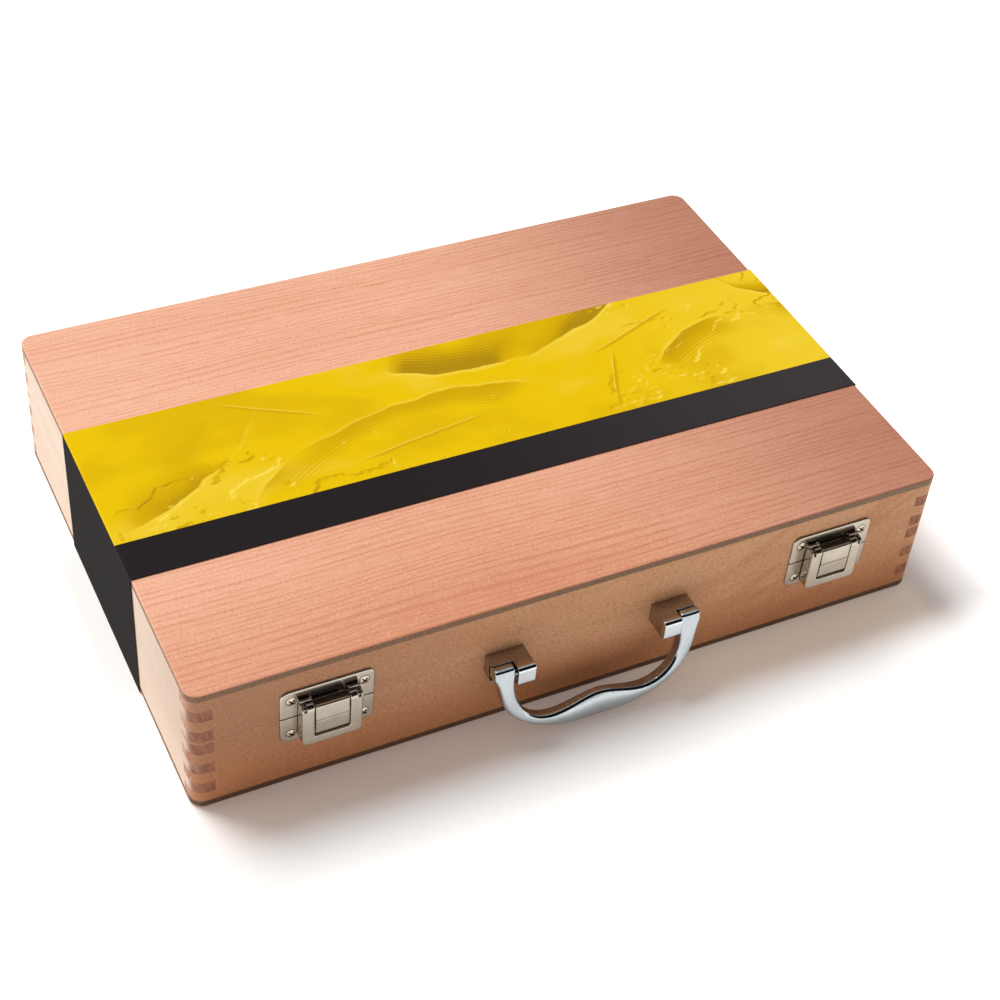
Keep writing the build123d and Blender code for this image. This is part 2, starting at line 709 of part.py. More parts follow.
def short_divider():
    """The divider between the brushes and the palette."""
    x0, x1 = SHORT_DIVIDER_X - DIVIDER_T / 2, SHORT_DIVIDER_X + DIVIDER_T / 2
    back = LONG_DIVIDER_Y - DIVIDER_T / 2
    return block(x0, x1, INNER_FRONT_Y, back, FLOOR_Z, FLOOR_Z + DIVIDER_H)


def tube_x(index):
    """The middle of one paint tube."""
    return INNER_LEFT_X + (index + 0.5) * INNER_W / TUBE_COUNT


def tube_front_y():
    """Where the tubes' caps end, next to the long divider."""
    return LONG_DIVIDER_Y + DIVIDER_T / 2 + TUBE_END_GAP


def tube_start_y():
    """Where the tubes' round bodies start, behind their shoulders."""
    return tube_front_y() + CAP_L + TUBE_SHOULDER - CAP_SKIRT


def tube_shoulder():
    """The cone between a tube's body and its neck, on X = 0."""
    cone = Cone(TUBE_R, TUBE_NECK_R, TUBE_SHOULDER, align=(Align.CENTER, Align.CENTER, Align.MIN))
    return Pos(0, tube_start_y(), FLOOR_Z + TUBE_R) * Rot(90, 0, 0) * cone


def paint_tube(index):
    """A tube on its side: round at the shoulder, pinched flat to a crimp at its tail."""
    centre_z = FLOOR_Z + TUBE_R
    crimp_z = FLOOR_Z + CRIMP_T
    start = tube_start_y()
    taper_l = TUBE_L - TUBE_ROUND_L - CRIMP_L
    crimp_w = pi * TUBE_R
    upright = Plane.XZ
    body = Pos(0, start + TUBE_ROUND_L, centre_z) * extrude(upright * Circle(TUBE_R), TUBE_ROUND_L)
    tail = loft([
        Pos(0, start + TUBE_ROUND_L, centre_z) * (upright * Circle(TUBE_R)),
        Pos(0, start + TUBE_ROUND_L + taper_l, crimp_z) * (upright * SlotOverall(crimp_w, CRIMP_T)),
    ])
    crimp_end = start + TUBE_L
    crimp = block(-crimp_w / 2, crimp_w / 2, crimp_end - CRIMP_L, crimp_end, crimp_z - CRIMP_T, crimp_z + CRIMP_T)
    return Pos(tube_x(index), 0, 0) * (body + tail + crimp + tube_shoulder())


def tube_cap():
    """A cap with a skirt over the neck, on Z, open end up."""
    outline = Polyline(
        (0, 0),
        (CAP_R - CAP_CHAMFER, 0),
        (CAP_R, CAP_CHAMFER),
        (CAP_R, CAP_L - CAP_SKIRT),
        (CAP_R + CAP_RIM, CAP_L - CAP_SKIRT + CAP_RIM),
        (CAP_R + CAP_RIM, CAP_L),
        (0, CAP_L),
        close=True,
    )
    return revolve(Plane.XZ * make_face(outline), Axis.Z)


def tube_caps():
    """The tubes' caps, each hollowed where its tube's shoulder goes in."""
    place = Pos(0, tube_front_y(), FLOOR_Z + TUBE_R) * Rot(-90, 0, 0)
    cap = place * tube_cap() - tube_shoulder()
    return Compound(children=[Pos(tube_x(index), 0, 0) * cap for index in range(TUBE_COUNT)])


def brush_place(index):
    """The tail end of one brush, lying along X in the front left bay."""
    y = INNER_FRONT_Y + BRUSH_FRONT_GAP + index * BRUSH_PITCH
    return Pos(INNER_LEFT_X + BRUSH_END_GAP, y, FLOOR_Z + BRUSH_HANDLE_R) * Rot(0, 90, 0)


def brush_handle():
    """A lacquered brush handle: a thin tail that swells and runs into the ferrule."""
    belly = BRUSH_HANDLE_L * BRUSH_BELLY
    tail = Line((0, 0), (BRUSH_TAIL_R, BRUSH_TAIL_R))
    swell = Spline((BRUSH_TAIL_R, BRUSH_TAIL_R), (BRUSH_HANDLE_R, belly), tangents=[(0, 1), (0, 1)])
    neck = Spline((BRUSH_HANDLE_R, belly), (FERRULE_R, BRUSH_HANDLE_L), tangents=[(0, 1), (0, 1)])
    rest = Polyline((FERRULE_R, BRUSH_HANDLE_L), (0, BRUSH_HANDLE_L), (0, 0))
    return revolve(Plane.XZ * make_face([tail, swell, neck, rest]), Axis.Z)


def brush_ferrule():
    """The metal tube between handle and bristles, with two crimped grooves."""
    grooves = []
    for start in (GROOVE_PITCH, 2 * GROOVE_PITCH):
        grooves.append((FERRULE_R, start))
        grooves.append((FERRULE_R - GROOVE_DEEP, start + GROOVE_W / 2))
        grooves.append((FERRULE_R, start + GROOVE_W))
    outline = Polyline((0, 0), (FERRULE_R, 0), *grooves, (FERRULE_R, FERRULE_L), (0, FERRULE_L), close=True)
    return Pos(0, 0, BRUSH_HANDLE_L) * revolve(Plane.XZ * make_face(outline), Axis.Z)


def brush_tuft():
    """A round tuft of bristles that comes to a blunt point."""
    side = Spline(
        (FERRULE_R, 0),
        (FERRULE_R + TUFT_BULGE, TUFT_L * TUFT_BELLY),
        (TUFT_TIP_R, TUFT_L),
        tangents=[(0.2, 1), (-1, 0.8)],
    )
    rest = Polyline((TUFT_TIP_R, TUFT_L), (0, TUFT_L), (0, 0), (FERRULE_R, 0))
    tuft = revolve(Plane.XZ * make_face([side, rest]), Axis.Z)
    return Pos(0, 0, BRUSH_HANDLE_L + FERRULE_L) * tuft


def palette():
    """A thin wooden palette that fills its bay, with a round thumb hole near one corner."""
    x = (INNER_W - PALETTE_BAY_W) / 2
    y = INNER_FRONT_Y + PALETTE_BAY_D / 2
    board = extrude(RectangleRounded(PALETTE_L, PALETTE_D, PALETTE_CORNER), PALETTE_T)
    thumb_x = PALETTE_L / 2 - THUMB_INSET
    thumb_y = THUMB_INSET - PALETTE_D / 2
    board -= Pos(thumb_x, thumb_y, PALETTE_T / 2) * Cylinder(THUMB_R, PALETTE_T)
    board = fillet(board.edges().group_by(Axis.Z)[-1], PALETTE_ROUND)
    return Pos(x, y, FLOOR_Z) * board


def knife_y():
    """The palette knife's line, near the long divider."""
    return LONG_DIVIDER_Y - DIVIDER_T / 2 - KNIFE_BACK_GAP


def knife_handle():
    """A turned wooden handle lying along X."""
    shoulder = (GRIP_R, GRIP_R)
    waist = (GRIP_WAIST_R, GRIP_L * GRIP_WAIST)
    swell = (GRIP_COLLAR_R, GRIP_L * GRIP_COLLAR)
    end = (GRIP_WAIST_R, GRIP_L)
    knob = RadiusArc((0, 0), shoulder, -GRIP_R)
    grip = Spline(shoulder, waist, tangents=[(0, 1), (0, 1)])
    collar = Spline(waist, swell, end, tangents=[(0, 1), (-0.2, 1)])
    rest = Polyline(end, (0, GRIP_L), (0, 0))
    handle = revolve(Plane.XZ * make_face([knob, grip, collar, rest]), Axis.Z)
    return Pos(INNER_LEFT_X + BRUSH_END_GAP, knife_y(), FLOOR_Z + GRIP_R) * Rot(0, 90, 0) * handle


def knife_blade():
    """A leaf-shaped blade on a cranked tang that lifts it above the handle's line."""
    handle_end = INNER_LEFT_X + BRUSH_END_GAP + GRIP_L
    handle_z = FLOOR_Z + GRIP_R
    blade_z = handle_z + CRANK_RISE
    start = handle_end + CRANK_RUN
    path = FilletPolyline(
        (handle_end, 0, handle_z),
        (handle_end + CRANK_RUN / 3, 0, handle_z),
        (handle_end + CRANK_RUN * 2 / 3, 0, blade_z),
        (start + TANG_R, 0, blade_z),
        radius=TANG_BEND_R,
    )
    tang = sweep(Plane(path @ 0, z_dir=path % 0) * Circle(TANG_R), path)
    edges = [Line((0, TANG_R), (0, -TANG_R))]
    for side in SIDES.values():
        widest = (BLADE_L * BLADE_BELLY, side * BLADE_W / 2)
        tangents = [(1, side * 0.3), (1, -side * 1.2)]
        edges.append(Spline((0, side * TANG_R), widest, (BLADE_L, 0), tangents=tangents))
    leaf = make_face(edges)
    blade = Pos(start, 0, blade_z - BLADE_T / 2) * extrude(leaf, BLADE_T)
    return Pos(0, knife_y(), 0) * (tang + blade)


def box_parts():
    """The base's and the lid's walls and sheets, drilled for their screws."""
    base_fingers = side_fingers(FLOOR_Z, PARTING_Z, BASE_FIRST_TAB)
    lid_fingers = side_fingers(LID_SHEET_Z, LID_Z, LID_FIRST_TAB)
    front, back, left, right = shell_walls(FLOOR_Z, PARTING_Z, base_fingers)
    lid_front, lid_back, lid_left, lid_right = shell_walls(LID_Z, LID_SHEET_Z, lid_fingers)
    small = screw_blank(SCREW_HEAD_R, SCREW_DOME, SCREW_R, SCREW_L)
    front = drilled(front, small, latch_screw_places(PARTING_Z - LATCH_SCREW_DOWN))
    front = drilled(front, Cylinder(HANDLE_SCREW_R, 3 * WALL), handle_screw_places())
    return {
        "base_sheet": sheet(WOOD_Z, 0),
        "base_front_wall": front,
        "base_back_wall": drilled(back, small, hinge_screw_places(HINGE_Z - HINGE_SCREW_UP)),
        "base_left_wall": left,
        "base_right_wall": right,
        "lid_sheet": sheet(LID_SHEET_Z, -1),
        "lid_front_wall": drilled(lid_front, small, latch_screw_places(PARTING_Z + LATCH_SCREW_UP)),
        "lid_back_wall": drilled(lid_back, small, hinge_screw_places(HINGE_Z + HINGE_SCREW_UP)),
        "lid_left_wall": lid_left,
        "lid_right_wall": lid_right,
    }


def band_parts():
    """The card band, parted at the lid's seam."""
    seam = (PARTING_Z + LID_Z) / 2
    return {
        "band_upper": band_half(seam + BAND_SPLIT / 2, 2 * LID_TOP_Z),
        "band_lower": band_half(-WOOD_Z, seam - BAND_SPLIT / 2),
    }


def handle_parts():
    """The posts, the bail, its pins and the screws from inside."""
    parts = {}
    for name, x in POSTS.items():
        post = handle_post(x, SIDES[name])
        bore = Pos(0, 0, (WALL + HANDLE_SCREW_BITE) / 2) * Cylinder(HANDLE_SCREW_R, WALL + HANDLE_SCREW_BITE)
        parts[name + "_handle_post"] = drilled(post, bore, handle_screw_places())
    parts["handle_bail"] = handle_bail()
    parts["handle_pins"] = Compound(children=[handle_pin(x, SIDES[name]) for name, x in POSTS.items()])
    parts["handle_screws"] = solids_at(handle_screw(), handle_screw_places())
    return parts


def latch_parts():
    """Both latches and their screws."""
    small = screw_blank(SCREW_HEAD_R, SCREW_DOME, SCREW_R, SCREW_L)
    low_places = latch_screw_places(PARTING_Z - LATCH_SCREW_DOWN)
    high_places = latch_screw_places(PARTING_Z + LATCH_SCREW_UP)
    parts = {}
    for name, x in LATCHES.items():
        place = Pos(x, 0, 0)
        parts[name + "_latch_base_plate"] = drilled(place * latch_base_plate(), small, low_places)
        parts[name + "_latch_keeper_plate"] = drilled(place * latch_keeper_plate(), small, high_places)
        parts[name + "_latch_lever"] = place * latch_lever()
        parts[name + "_latch_lever_pins"] = latch_lever_pins(x)
        parts[name + "_latch_link_pin"] = place * latch_link_pin()
        parts[name + "_latch_link"] = place * latch_link()
    parts["latch_base_screws"] = solids_at(small_screw(), low_places)
    parts["latch_keeper_screws"] = solids_at(small_screw(), high_places)
    return parts


def hinge_parts():
    """Both hinges and their screws."""
    small = screw_blank(SCREW_HEAD_R, SCREW_DOME, SCREW_R, SCREW_L)
    low_places = hinge_screw_places(HINGE_Z - HINGE_SCREW_UP)
    high_places = hinge_screw_places(HINGE_Z + HINGE_SCREW_UP)
    parts = {}
    for name, x in HINGES.items():
        place = Pos(x, 0, 0)
        parts[name + "_hinge_base_leaf"] = drilled(place * hinge_base_leaf(), small, low_places)
        parts[name + "_hinge_lid_leaf"] = drilled(place * hinge_lid_leaf(), small, high_places)
    parts["hinge_pins"] = Compound(children=[Pos(x, 0, 0) * hinge_pin() for x in HINGES.values()])
    parts["hinge_base_screws"] = solids_at(small_screw(), low_places)
    parts["hinge_lid_screws"] = solids_at(small_screw(), high_places)
    return parts


def content_parts():
    """The dividers and what lies in the bays."""
    brushes = [brush_place(index) for index in range(BRUSH_COUNT)]
    parts = {
        "long_divider": long_divider(),
        "short_divider": short_divider(),
        "tube_caps": tube_caps(),
        "brush_handles": solids_at(brush_handle(), brushes),
        "brush_ferrules": solids_at(brush_ferrule(), brushes),
        "brush_tufts": solids_at(brush_tuft(), brushes),
        "palette": palette(),
        "knife_handle": knife_handle(),
        "knife_blade": knife_blade(),
    }
    for index in range(TUBE_COUNT):
        parts["paint_tube_{:02d}".format(index + 1)] = paint_tube(index)
    return parts


os.makedirs("parts", exist_ok=True)
for group in (box_parts(), band_parts(), handle_parts(), latch_parts(), hinge_parts(), content_parts()):
    for node, shape in group.items():
        export_step(shape, "parts/" + node + ".step")
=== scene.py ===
"""Looks of the acrylic paint set: wood, printed band, metal and contents, with the studio round them.

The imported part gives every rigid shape. This script dresses those shapes, builds the bristles of the
three brushes, and sets up the floor, the lights and the camera.
"""

import logging
import math
from dataclasses import dataclass
from enum import Enum

import bmesh
import bpy
from mathutils import Matrix, Vector


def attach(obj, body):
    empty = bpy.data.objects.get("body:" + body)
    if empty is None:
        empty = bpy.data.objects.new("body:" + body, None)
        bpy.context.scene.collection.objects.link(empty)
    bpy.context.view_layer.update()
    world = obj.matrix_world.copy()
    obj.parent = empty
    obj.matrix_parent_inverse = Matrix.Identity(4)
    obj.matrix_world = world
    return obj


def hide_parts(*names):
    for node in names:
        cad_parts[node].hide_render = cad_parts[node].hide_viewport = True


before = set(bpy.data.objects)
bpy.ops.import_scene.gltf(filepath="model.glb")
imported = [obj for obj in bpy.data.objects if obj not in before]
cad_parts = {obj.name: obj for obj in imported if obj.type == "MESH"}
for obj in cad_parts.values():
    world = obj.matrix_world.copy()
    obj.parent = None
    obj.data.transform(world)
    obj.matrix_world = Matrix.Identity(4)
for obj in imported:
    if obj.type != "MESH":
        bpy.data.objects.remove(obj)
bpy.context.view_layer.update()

LOG = logging.getLogger("paint_set")
MM = 0.001

Colour = tuple[float, float, float, float]


class Grain(Enum):
    """The way the fibres of a board run."""

    ALONG_X = "x"
    ALONG_Y = "y"


class Side(Enum):
    """The two ends of the box, as its part names say them."""

    LEFT = "left"
    RIGHT = "right"


def tone(red: int, green: int, blue: int) -> Colour:
    """A screen colour as the linear colour that a shader takes.

    Args:
        red: Red on the scale of 0 to 255.
        green: Green on the same scale.
        blue: Blue on the same scale.

    Returns:
        The linear red, green and blue, with a full alpha.
    """
    linear = []
    for value in (red, green, blue):
        share = value / 255
        linear.append(share / 12.92 if share <= 0.04045 else ((share + 0.055) / 1.055) ** 2.4)
    return (linear[0], linear[1], linear[2], 1.0)


class Wire:
    """A socket's value in a node tree; arithmetic on it adds Math nodes."""

    def __init__(self, bench: "Bench", socket: bpy.types.NodeSocket) -> None:
        """Keeps the bench that lays out nodes and the socket that gives the value."""
        self.bench = bench
        self.socket = socket

    def maths(self, operation: str, *values: "Wire | float") -> "Wire":
        """A Math node on some values.

        Args:
            operation: The Math node's operation.
            values: Its inputs, in their order.

        Returns:
            The node's result.
        """
        return self.bench.wire("ShaderNodeMath", {"operation": operation}, dict(enumerate(values)))

    def __add__(self, other: "Wire | float") -> "Wire":
        """The sum of two values."""
        return self.maths("ADD", self, other)

    def __radd__(self, other: float) -> "Wire":
        """The sum of a number and this value."""
        return self.maths("ADD", other, self)

    def __sub__(self, other: "Wire | float") -> "Wire":
        """This value less another."""
        return self.maths("SUBTRACT", self, other)

    def __rsub__(self, other: float) -> "Wire":
        """A number less this value."""
        return self.maths("SUBTRACT", other, self)

    def __mul__(self, other: "Wire | float") -> "Wire":
        """The product of two values."""
        return self.maths("MULTIPLY", self, other)

    def __rmul__(self, other: float) -> "Wire":
        """The product of a number and this value."""
        return self.maths("MULTIPLY", other, self)

    def __truediv__(self, other: "Wire | float") -> "Wire":
        """This value divided by another."""
        return self.maths("DIVIDE", self, other)

    def __abs__(self) -> "Wire":
        """The value without its sign."""
        return self.maths("ABSOLUTE", self)

    def fract(self) -> "Wire":
        """The value without its whole part."""
        return self.maths("FRACT", self)

    def sine(self) -> "Wire":
        """The sine of the value, in radians."""
        return self.maths("SINE", self)

    def root(self) -> "Wire":
        """The square root of the value."""
        return self.maths("SQRT", self)

    def larger(self, other: "Wire | float") -> "Wire":
        """The larger of two values."""
        return self.maths("MAXIMUM", self, other)

    def smaller(self, other: "Wire | float") -> "Wire":
        """The smaller of two values."""
        return self.maths("MINIMUM", self, other)

    def fade(self, low: float, high: float) -> "Wire":
        """A smooth rise from 0 at one value to 1 at another.

        Args:
            low: The value that gives 0.
            high: The value that gives 1, which may lie below the other.

        Returns:
            The share, kept between 0 and 1.
        """
        settings = {"interpolation_type": "SMOOTHSTEP"}
        inputs = {"Value": self, "From Min": low, "From Max": high}
        return self.bench.wire("ShaderNodeMapRange", settings, inputs)


class Bench:
    """Lays out the nodes of one material or of the world."""

    def __init__(self, tree: bpy.types.NodeTree) -> None:
        """Starts from an empty tree."""
        self.tree = tree
        tree.nodes.clear()

    def node(self, kind: str, settings: dict | None = None, inputs: dict | None = None) -> bpy.types.Node:
        """Adds one node, sets it up and joins its sockets.

        Args:
            kind: The node's type name.
            settings: Its properties; "stops" holds a ramp's positions and colours.
            inputs: A number, a colour or a wire for each socket, by name or index.

        Returns:
            The node.
        """
        made = self.tree.nodes.new(kind)
        for name, value in (settings or {}).items():
            if name == "stops":
                self.set_stops(made.color_ramp.elements, value)
            else:
                setattr(made, name, value)
        for key, value in (inputs or {}).items():
            if isinstance(value, Wire):
                self.tree.links.new(value.socket, made.inputs[key])
            elif isinstance(value, bpy.types.NodeSocket):
                self.tree.links.new(value, made.inputs[key])
            else:
                made.inputs[key].default_value = value
        return made

    @staticmethod
    def set_stops(elements: bpy.types.bpy_prop_collection, stops: list[tuple[float, Colour]]) -> None:
        """Gives a colour ramp its stops.

        Args:
            elements: The ramp's two first stops.
            stops: Positions from 0 to 1 and their colours.
        """
        while len(elements) < len(stops):
            elements.new(0.5)
        for element, (position, colour) in zip(elements, stops):
            element.position = position
            element.color = colour

    def wire(self, kind: str, settings: dict | None = None, inputs: dict | None = None, output: int | str = 0) -> Wire:
        """One output of a new node.

        Args:
            kind: The node's type name.
            settings: Its properties.
            inputs: What its sockets get.
            output: The output's index or name.

        Returns:
            That output.
        """
        return Wire(self, self.node(kind, settings, inputs).outputs[output])

    def place(self) -> tuple[Wire, Wire, Wire]:
        """The point being shaded, as X, Y and Z in millimetres of the object's own space."""
        point = self.wire("ShaderNodeTexCoord", output="Object")
        parts = self.node("ShaderNodeSeparateXYZ", inputs={0: point})
        x, y, z = (Wire(self, parts.outputs[index]) * 1000 for index in range(3))
        return x, y, z

    def vector(self, x: Wire | float, y: Wire | float, z: Wire | float) -> Wire:
        """Three values as one vector."""
        return self.wire("ShaderNodeCombineXYZ", inputs={0: x, 1: y, 2: z})

    def noise(self, at: Wire, detail: float = 2.0, rough: float = 0.5) -> Wire:
        """Soft noise between 0 and 1 with cells about one unit wide.

        Args:
            at: Where it is read, already scaled to the size of the cells.
            detail: How many finer layers are added.
            rough: How strong the finer layers are.

        Returns:
            The noise.
        """
        inputs = {"Vector": at, "Scale": 1.0, "Detail": detail, "Roughness": rough}
        return self.wire("ShaderNodeTexNoise", inputs=inputs)

    def blend(self, share: Wire | float, first: Wire | Colour, second: Wire | Colour) -> Wire:
        """A colour between two others.

        Args:
            share: 0 gives the first and 1 the second.
            first: A colour.
            second: Another colour.

        Returns:
            The mixed colour.
        """
        inputs = {0: share, 6: first, 7: second}
        return self.wire("ShaderNodeMix", {"data_type": "RGBA"}, inputs, output=2)

    def bump(self, height: Wire, depth_mm: float, strength: float = 1.0, normal: Wire | None = None) -> Wire:
        """A normal bent by a height.

        Args:
            height: The height, 1 for the full depth.
            depth_mm: The full depth.
            strength: How much of the bend is used.
            normal: The normal that is bent, if it isn't the surface's own.

        Returns:
            The bent normal.
        """
        inputs = {"Height": height, "Distance": depth_mm * MM, "Strength": strength}
        if normal is not None:
            inputs["Normal"] = normal
        return self.wire("ShaderNodeBump", inputs=inputs)

    def surface(self, **sockets: "Wire | float | Colour") -> None:
        """Ends the tree with a Principled surface.

        Args:
            sockets: The shader's inputs, with underscores for the spaces in their names.
        """
        inputs = {name.replace("_", " "): value for name, value in sockets.items()}
        shader = self.node("ShaderNodeBsdfPrincipled", inputs=inputs)
        self.node("ShaderNodeOutputMaterial", inputs={0: shader.outputs[0]})


def new_bench(name: str) -> tuple[bpy.types.Material, Bench]:
    """A new material and the bench for its nodes.

    Args:
        name: The material's name.

    Returns:
        The material and its bench.
    """
    material = bpy.data.materials.new(name)
    material.use_nodes = True
    return material, Bench(material.node_tree)


def dress(material: bpy.types.Material, *nodes: str) -> None:
    """Puts a material on every slot of some of the part's nodes.

    Args:
        material: The finish.
        nodes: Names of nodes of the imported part.
    """
    for name in nodes:
        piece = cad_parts[name]
        if not piece.material_slots:
            piece.data.materials.append(material)
        for slot in piece.material_slots:
            slot.material = material


@dataclass(frozen=True)
class BeechVeneer:
    """Rose beech veneer on plywood: close growth lines along X, fine flecks and a dull cut edge.

    Painted shade darkens the face towards the right end and towards the front, and painted light makes
    the cut edge paler towards the right end.
    """

    pale: Colour = tone(244, 188, 158)
    pale_painted_dim: Colour = tone(194, 135, 110)
    line: Colour = tone(208, 136, 103)
    line_painted_dim: Colour = tone(158, 98, 74)
    core: Colour = tone(158, 124, 96)
    core_line: Colour = tone(108, 80, 60)
    core_painted_right_light: Colour = tone(160, 142, 112)
    inside: Colour = tone(226, 190, 152)
    line_pitch: float = 3.1

    def material(self, name: str, face_z: float, inner_z: float) -> bpy.types.Material:
        """The sheet's finish.

        Args:
            name: The material's name.
            face_z: Height of the veneered outer face, in millimetres.
            inner_z: Height of the face inside the box.

        Returns:
            The material.
        """
        material, bench = new_bench(name)
        x, y, z = bench.place()
        sway = bench.noise(bench.vector(x * 0.005, y * 0.015, 0.0), 1.0) * 10.0
        row = y + sway
        width = bench.noise(bench.vector(x * 0.002, row * 0.05, 3.0), 1.0) * 4.0
        ring = (row / self.line_pitch + width).fract()
        broken = bench.noise(bench.vector(x * 0.02, row * 0.3, 6.0), 2.0, 0.6)
        line = ring.fade(0.42, 0.9) * ring.fade(1.0, 0.92) * broken.fade(0.3, 0.6)
        broad = bench.noise(bench.vector(x * 0.004, row * 0.03, 2.0), 3.0, 0.6)
        fine = bench.noise(bench.vector(x * 0.09, row * 1.2, 8.0), 2.0, 0.6)
        flecks = bench.noise(bench.vector(x * 0.7 - row * 0.2, row * 1.7, 11.0), 2.0, 0.8)
        # Painted shade: the face turns darker towards the right end, where the light falls off.
        painted_falloff = x.fade(-10.0, 192.0)
        pale = bench.blend(painted_falloff, self.pale, self.pale_painted_dim)
        deep = bench.blend(painted_falloff, self.line, self.line_painted_dim)
        # Painted shade: the top darkens towards the front edge. It is also paler at the left end.
        painted_front_shade = y.fade(-30.0, -120.0) * x.fade(140.0, -40.0)
        share = line * 0.4 + broad.fade(0.3, 0.75) * 0.18 + painted_front_shade * 0.52 + x.fade(-178.0, -60.0) * 0.16
        share = share + (fine - 0.5) * 0.8 + (flecks - 0.5) * 1.7
        face = bench.blend(share.larger(0.0).smaller(1.2), pale, deep)
        layers = (z * 5.2 + bench.noise(bench.vector(x * 0.1, y * 0.1, z * 4.0)) * 2.0).sine()
        cut = bench.noise(bench.vector(x * 0.5, y * 0.5, z * 1.6), 3.0, 0.65)
        # Painted light: the cut edge turns paler and greener towards the right end.
        core = bench.blend(x.fade(60.0, 178.0) * 0.7, self.core, self.core_painted_right_light)
        edge = bench.blend(layers.fade(-0.2, 0.9) * 0.4 + cut.fade(0.44, 0.66) * 0.55, core, self.core_line)
        inner = bench.blend(line * 0.4 + fine.fade(0.4, 0.8) * 0.3, self.inside, self.line)
        way = 1 if face_z > inner_z else -1
        skin = (z * way).fade(face_z * way - 0.6, face_z * way - 0.35)
        lining = (z * way).fade(inner_z * way + 0.02, inner_z * way)
        colour = bench.blend(lining, bench.blend(skin, edge, face), inner)
        bench.surface(
            Base_Color=colour,
            Roughness=0.46 + fine * 0.12,
            Specular_IOR_Level=0.25,
            Normal=bench.bump(fine * 0.6 + flecks * 0.4, 0.04, 0.15),
        )
        return material


@dataclass(frozen=True)
class BeechBoard:
    """Solid beech: tan with dense short pores, redder low down, with red-brown end grain, and painted shade
    towards the left end, or towards the front on a board that runs along Y.

    A board with a skin depth has its own colours on its outer face only, and is common beech behind it.
    """

    pale: Colour = tone(242, 186, 142)
    tan: Colour = tone(231, 172, 126)
    painted_shade_tone: Colour = tone(180, 126, 94)
    red: Colour = tone(217, 144, 95)
    pore: Colour = tone(122, 76, 48)
    end: Colour = tone(206, 158, 134)
    end_streak: Colour = tone(176, 122, 102)
    end_strength: float = 0.8
    end_lead: float = 0.0
    skin_x: float | None = None
    skin_depth: float = 6.0

    def shades(self, bench: Bench, x: Wire) -> list[Wire | Colour]:
        """The board's colours, from the palest to the pores.

        Args:
            bench: The material's bench.
            x: X in millimetres.

        Returns:
            Its pale, tan, painted shade, red and pore colours.
        """
        own = [self.pale, self.tan, self.painted_shade_tone, self.red, self.pore]
        if self.skin_x is None:
            return own
        common = BeechBoard()
        outer = abs(x).fade(self.skin_x - self.skin_depth, self.skin_x)
        behind = [common.pale, common.tan, common.painted_shade_tone, common.red, common.pore]
        return [bench.blend(outer, first, second) for first, second in zip(behind, own)]

    def material(self, name: str, grain: Grain, low_z: float, high_z: float, seed: float) -> bpy.types.Material:
        """The finish of one board.

        Args:
            name: The material's name.
            grain: The way its fibres run.
            low_z: Height below which the wood is reddest, in millimetres.
            high_z: Height above which it is palest.
            seed: Shifts the pattern, so that boards differ.

        Returns:
            The material.
        """
        material, bench = new_bench(name)
        x, y, z = bench.place()
        along, across = (x, y) if grain is Grain.ALONG_X else (y, x)
        reach = 175.9 if grain is Grain.ALONG_X else 118.4
        sway = bench.noise(bench.vector(along * 0.01, z * 0.03, seed), 2.0) * 9.0
        row = z + across * 0.7 + sway
        figure = bench.noise(bench.vector(along * 0.01, row * 0.08, seed + 3.0), 3.0, 0.6)
        stripes = bench.noise(bench.vector(along * 0.015, row * 0.5, seed + 7.0), 3.0, 0.6)
        pores = bench.noise(bench.vector(along * 0.48 - row * 0.15, row * 2.2, seed + 9.0), 2.0, 0.65)
        fine = bench.noise(bench.vector(along * 0.9, row * 2.4, seed + 13.0), 2.0, 0.6)
        pale, tan, painted_shade_tone, red, pore = self.shades(bench, x)
        face = bench.blend(figure.fade(0.3, 0.7), pale, tan)
        # Painted shade: front and back boards darken towards the left end, side boards towards the front.
        shaded = x.fade(20.0, -178.0) if grain is Grain.ALONG_X else y.fade(-20.0, -125.0)
        face = bench.blend(shaded * 0.7, face, painted_shade_tone)
        face = bench.blend(z.fade(high_z, low_z) * 0.8, face, red)
        face = bench.blend(stripes.fade(0.48, 0.78) * 0.25, face, red)
        slant = bench.noise(bench.vector(along * 0.06 - z * 0.1, (along + z) * 0.008, seed + 17.0), 2.0, 0.5)
        face = bench.blend(slant.fade(0.5, 0.56) * along.fade(20.0, 110.0) * 0.42, face, red)
        face = bench.blend(pores.fade(0.5, 0.63) * 0.38, face, pore)
        face = bench.blend(fine.fade(0.52, 0.66) * 0.3, face, pore)
        rings = bench.noise(bench.vector(across * 0.36 + z * 0.08, along * 0.2, z * 0.09 + seed), 2.0, 0.6)
        dots = bench.noise(bench.vector(across * 3.0, along * 3.0, z * 3.0), 1.0, 0.5)
        cut = bench.blend(rings.fade(0.38, 0.64), self.end, self.end_streak)
        cut = bench.blend(dots.fade(0.55, 0.75) * 0.2, cut, self.pore)
        end = abs(along).fade(reach - self.end_lead, reach - self.end_lead * 0.3 + 1.2)
        worn = bench.noise(bench.vector(x * 0.25, y * 0.25, z * 0.22 + seed), 2.0, 0.5).fade(0.3, 0.55)
        colour = bench.blend(end * self.end_strength * (0.8 + worn * 0.2), face, cut)
        bench.surface(
            Base_Color=colour,
            Roughness=0.46 + fine * 0.14,
            Specular_IOR_Level=0.3,
            Normal=bench.bump(pores * 0.7 + fine * 0.3, 0.08, 0.4),
        )
        return material


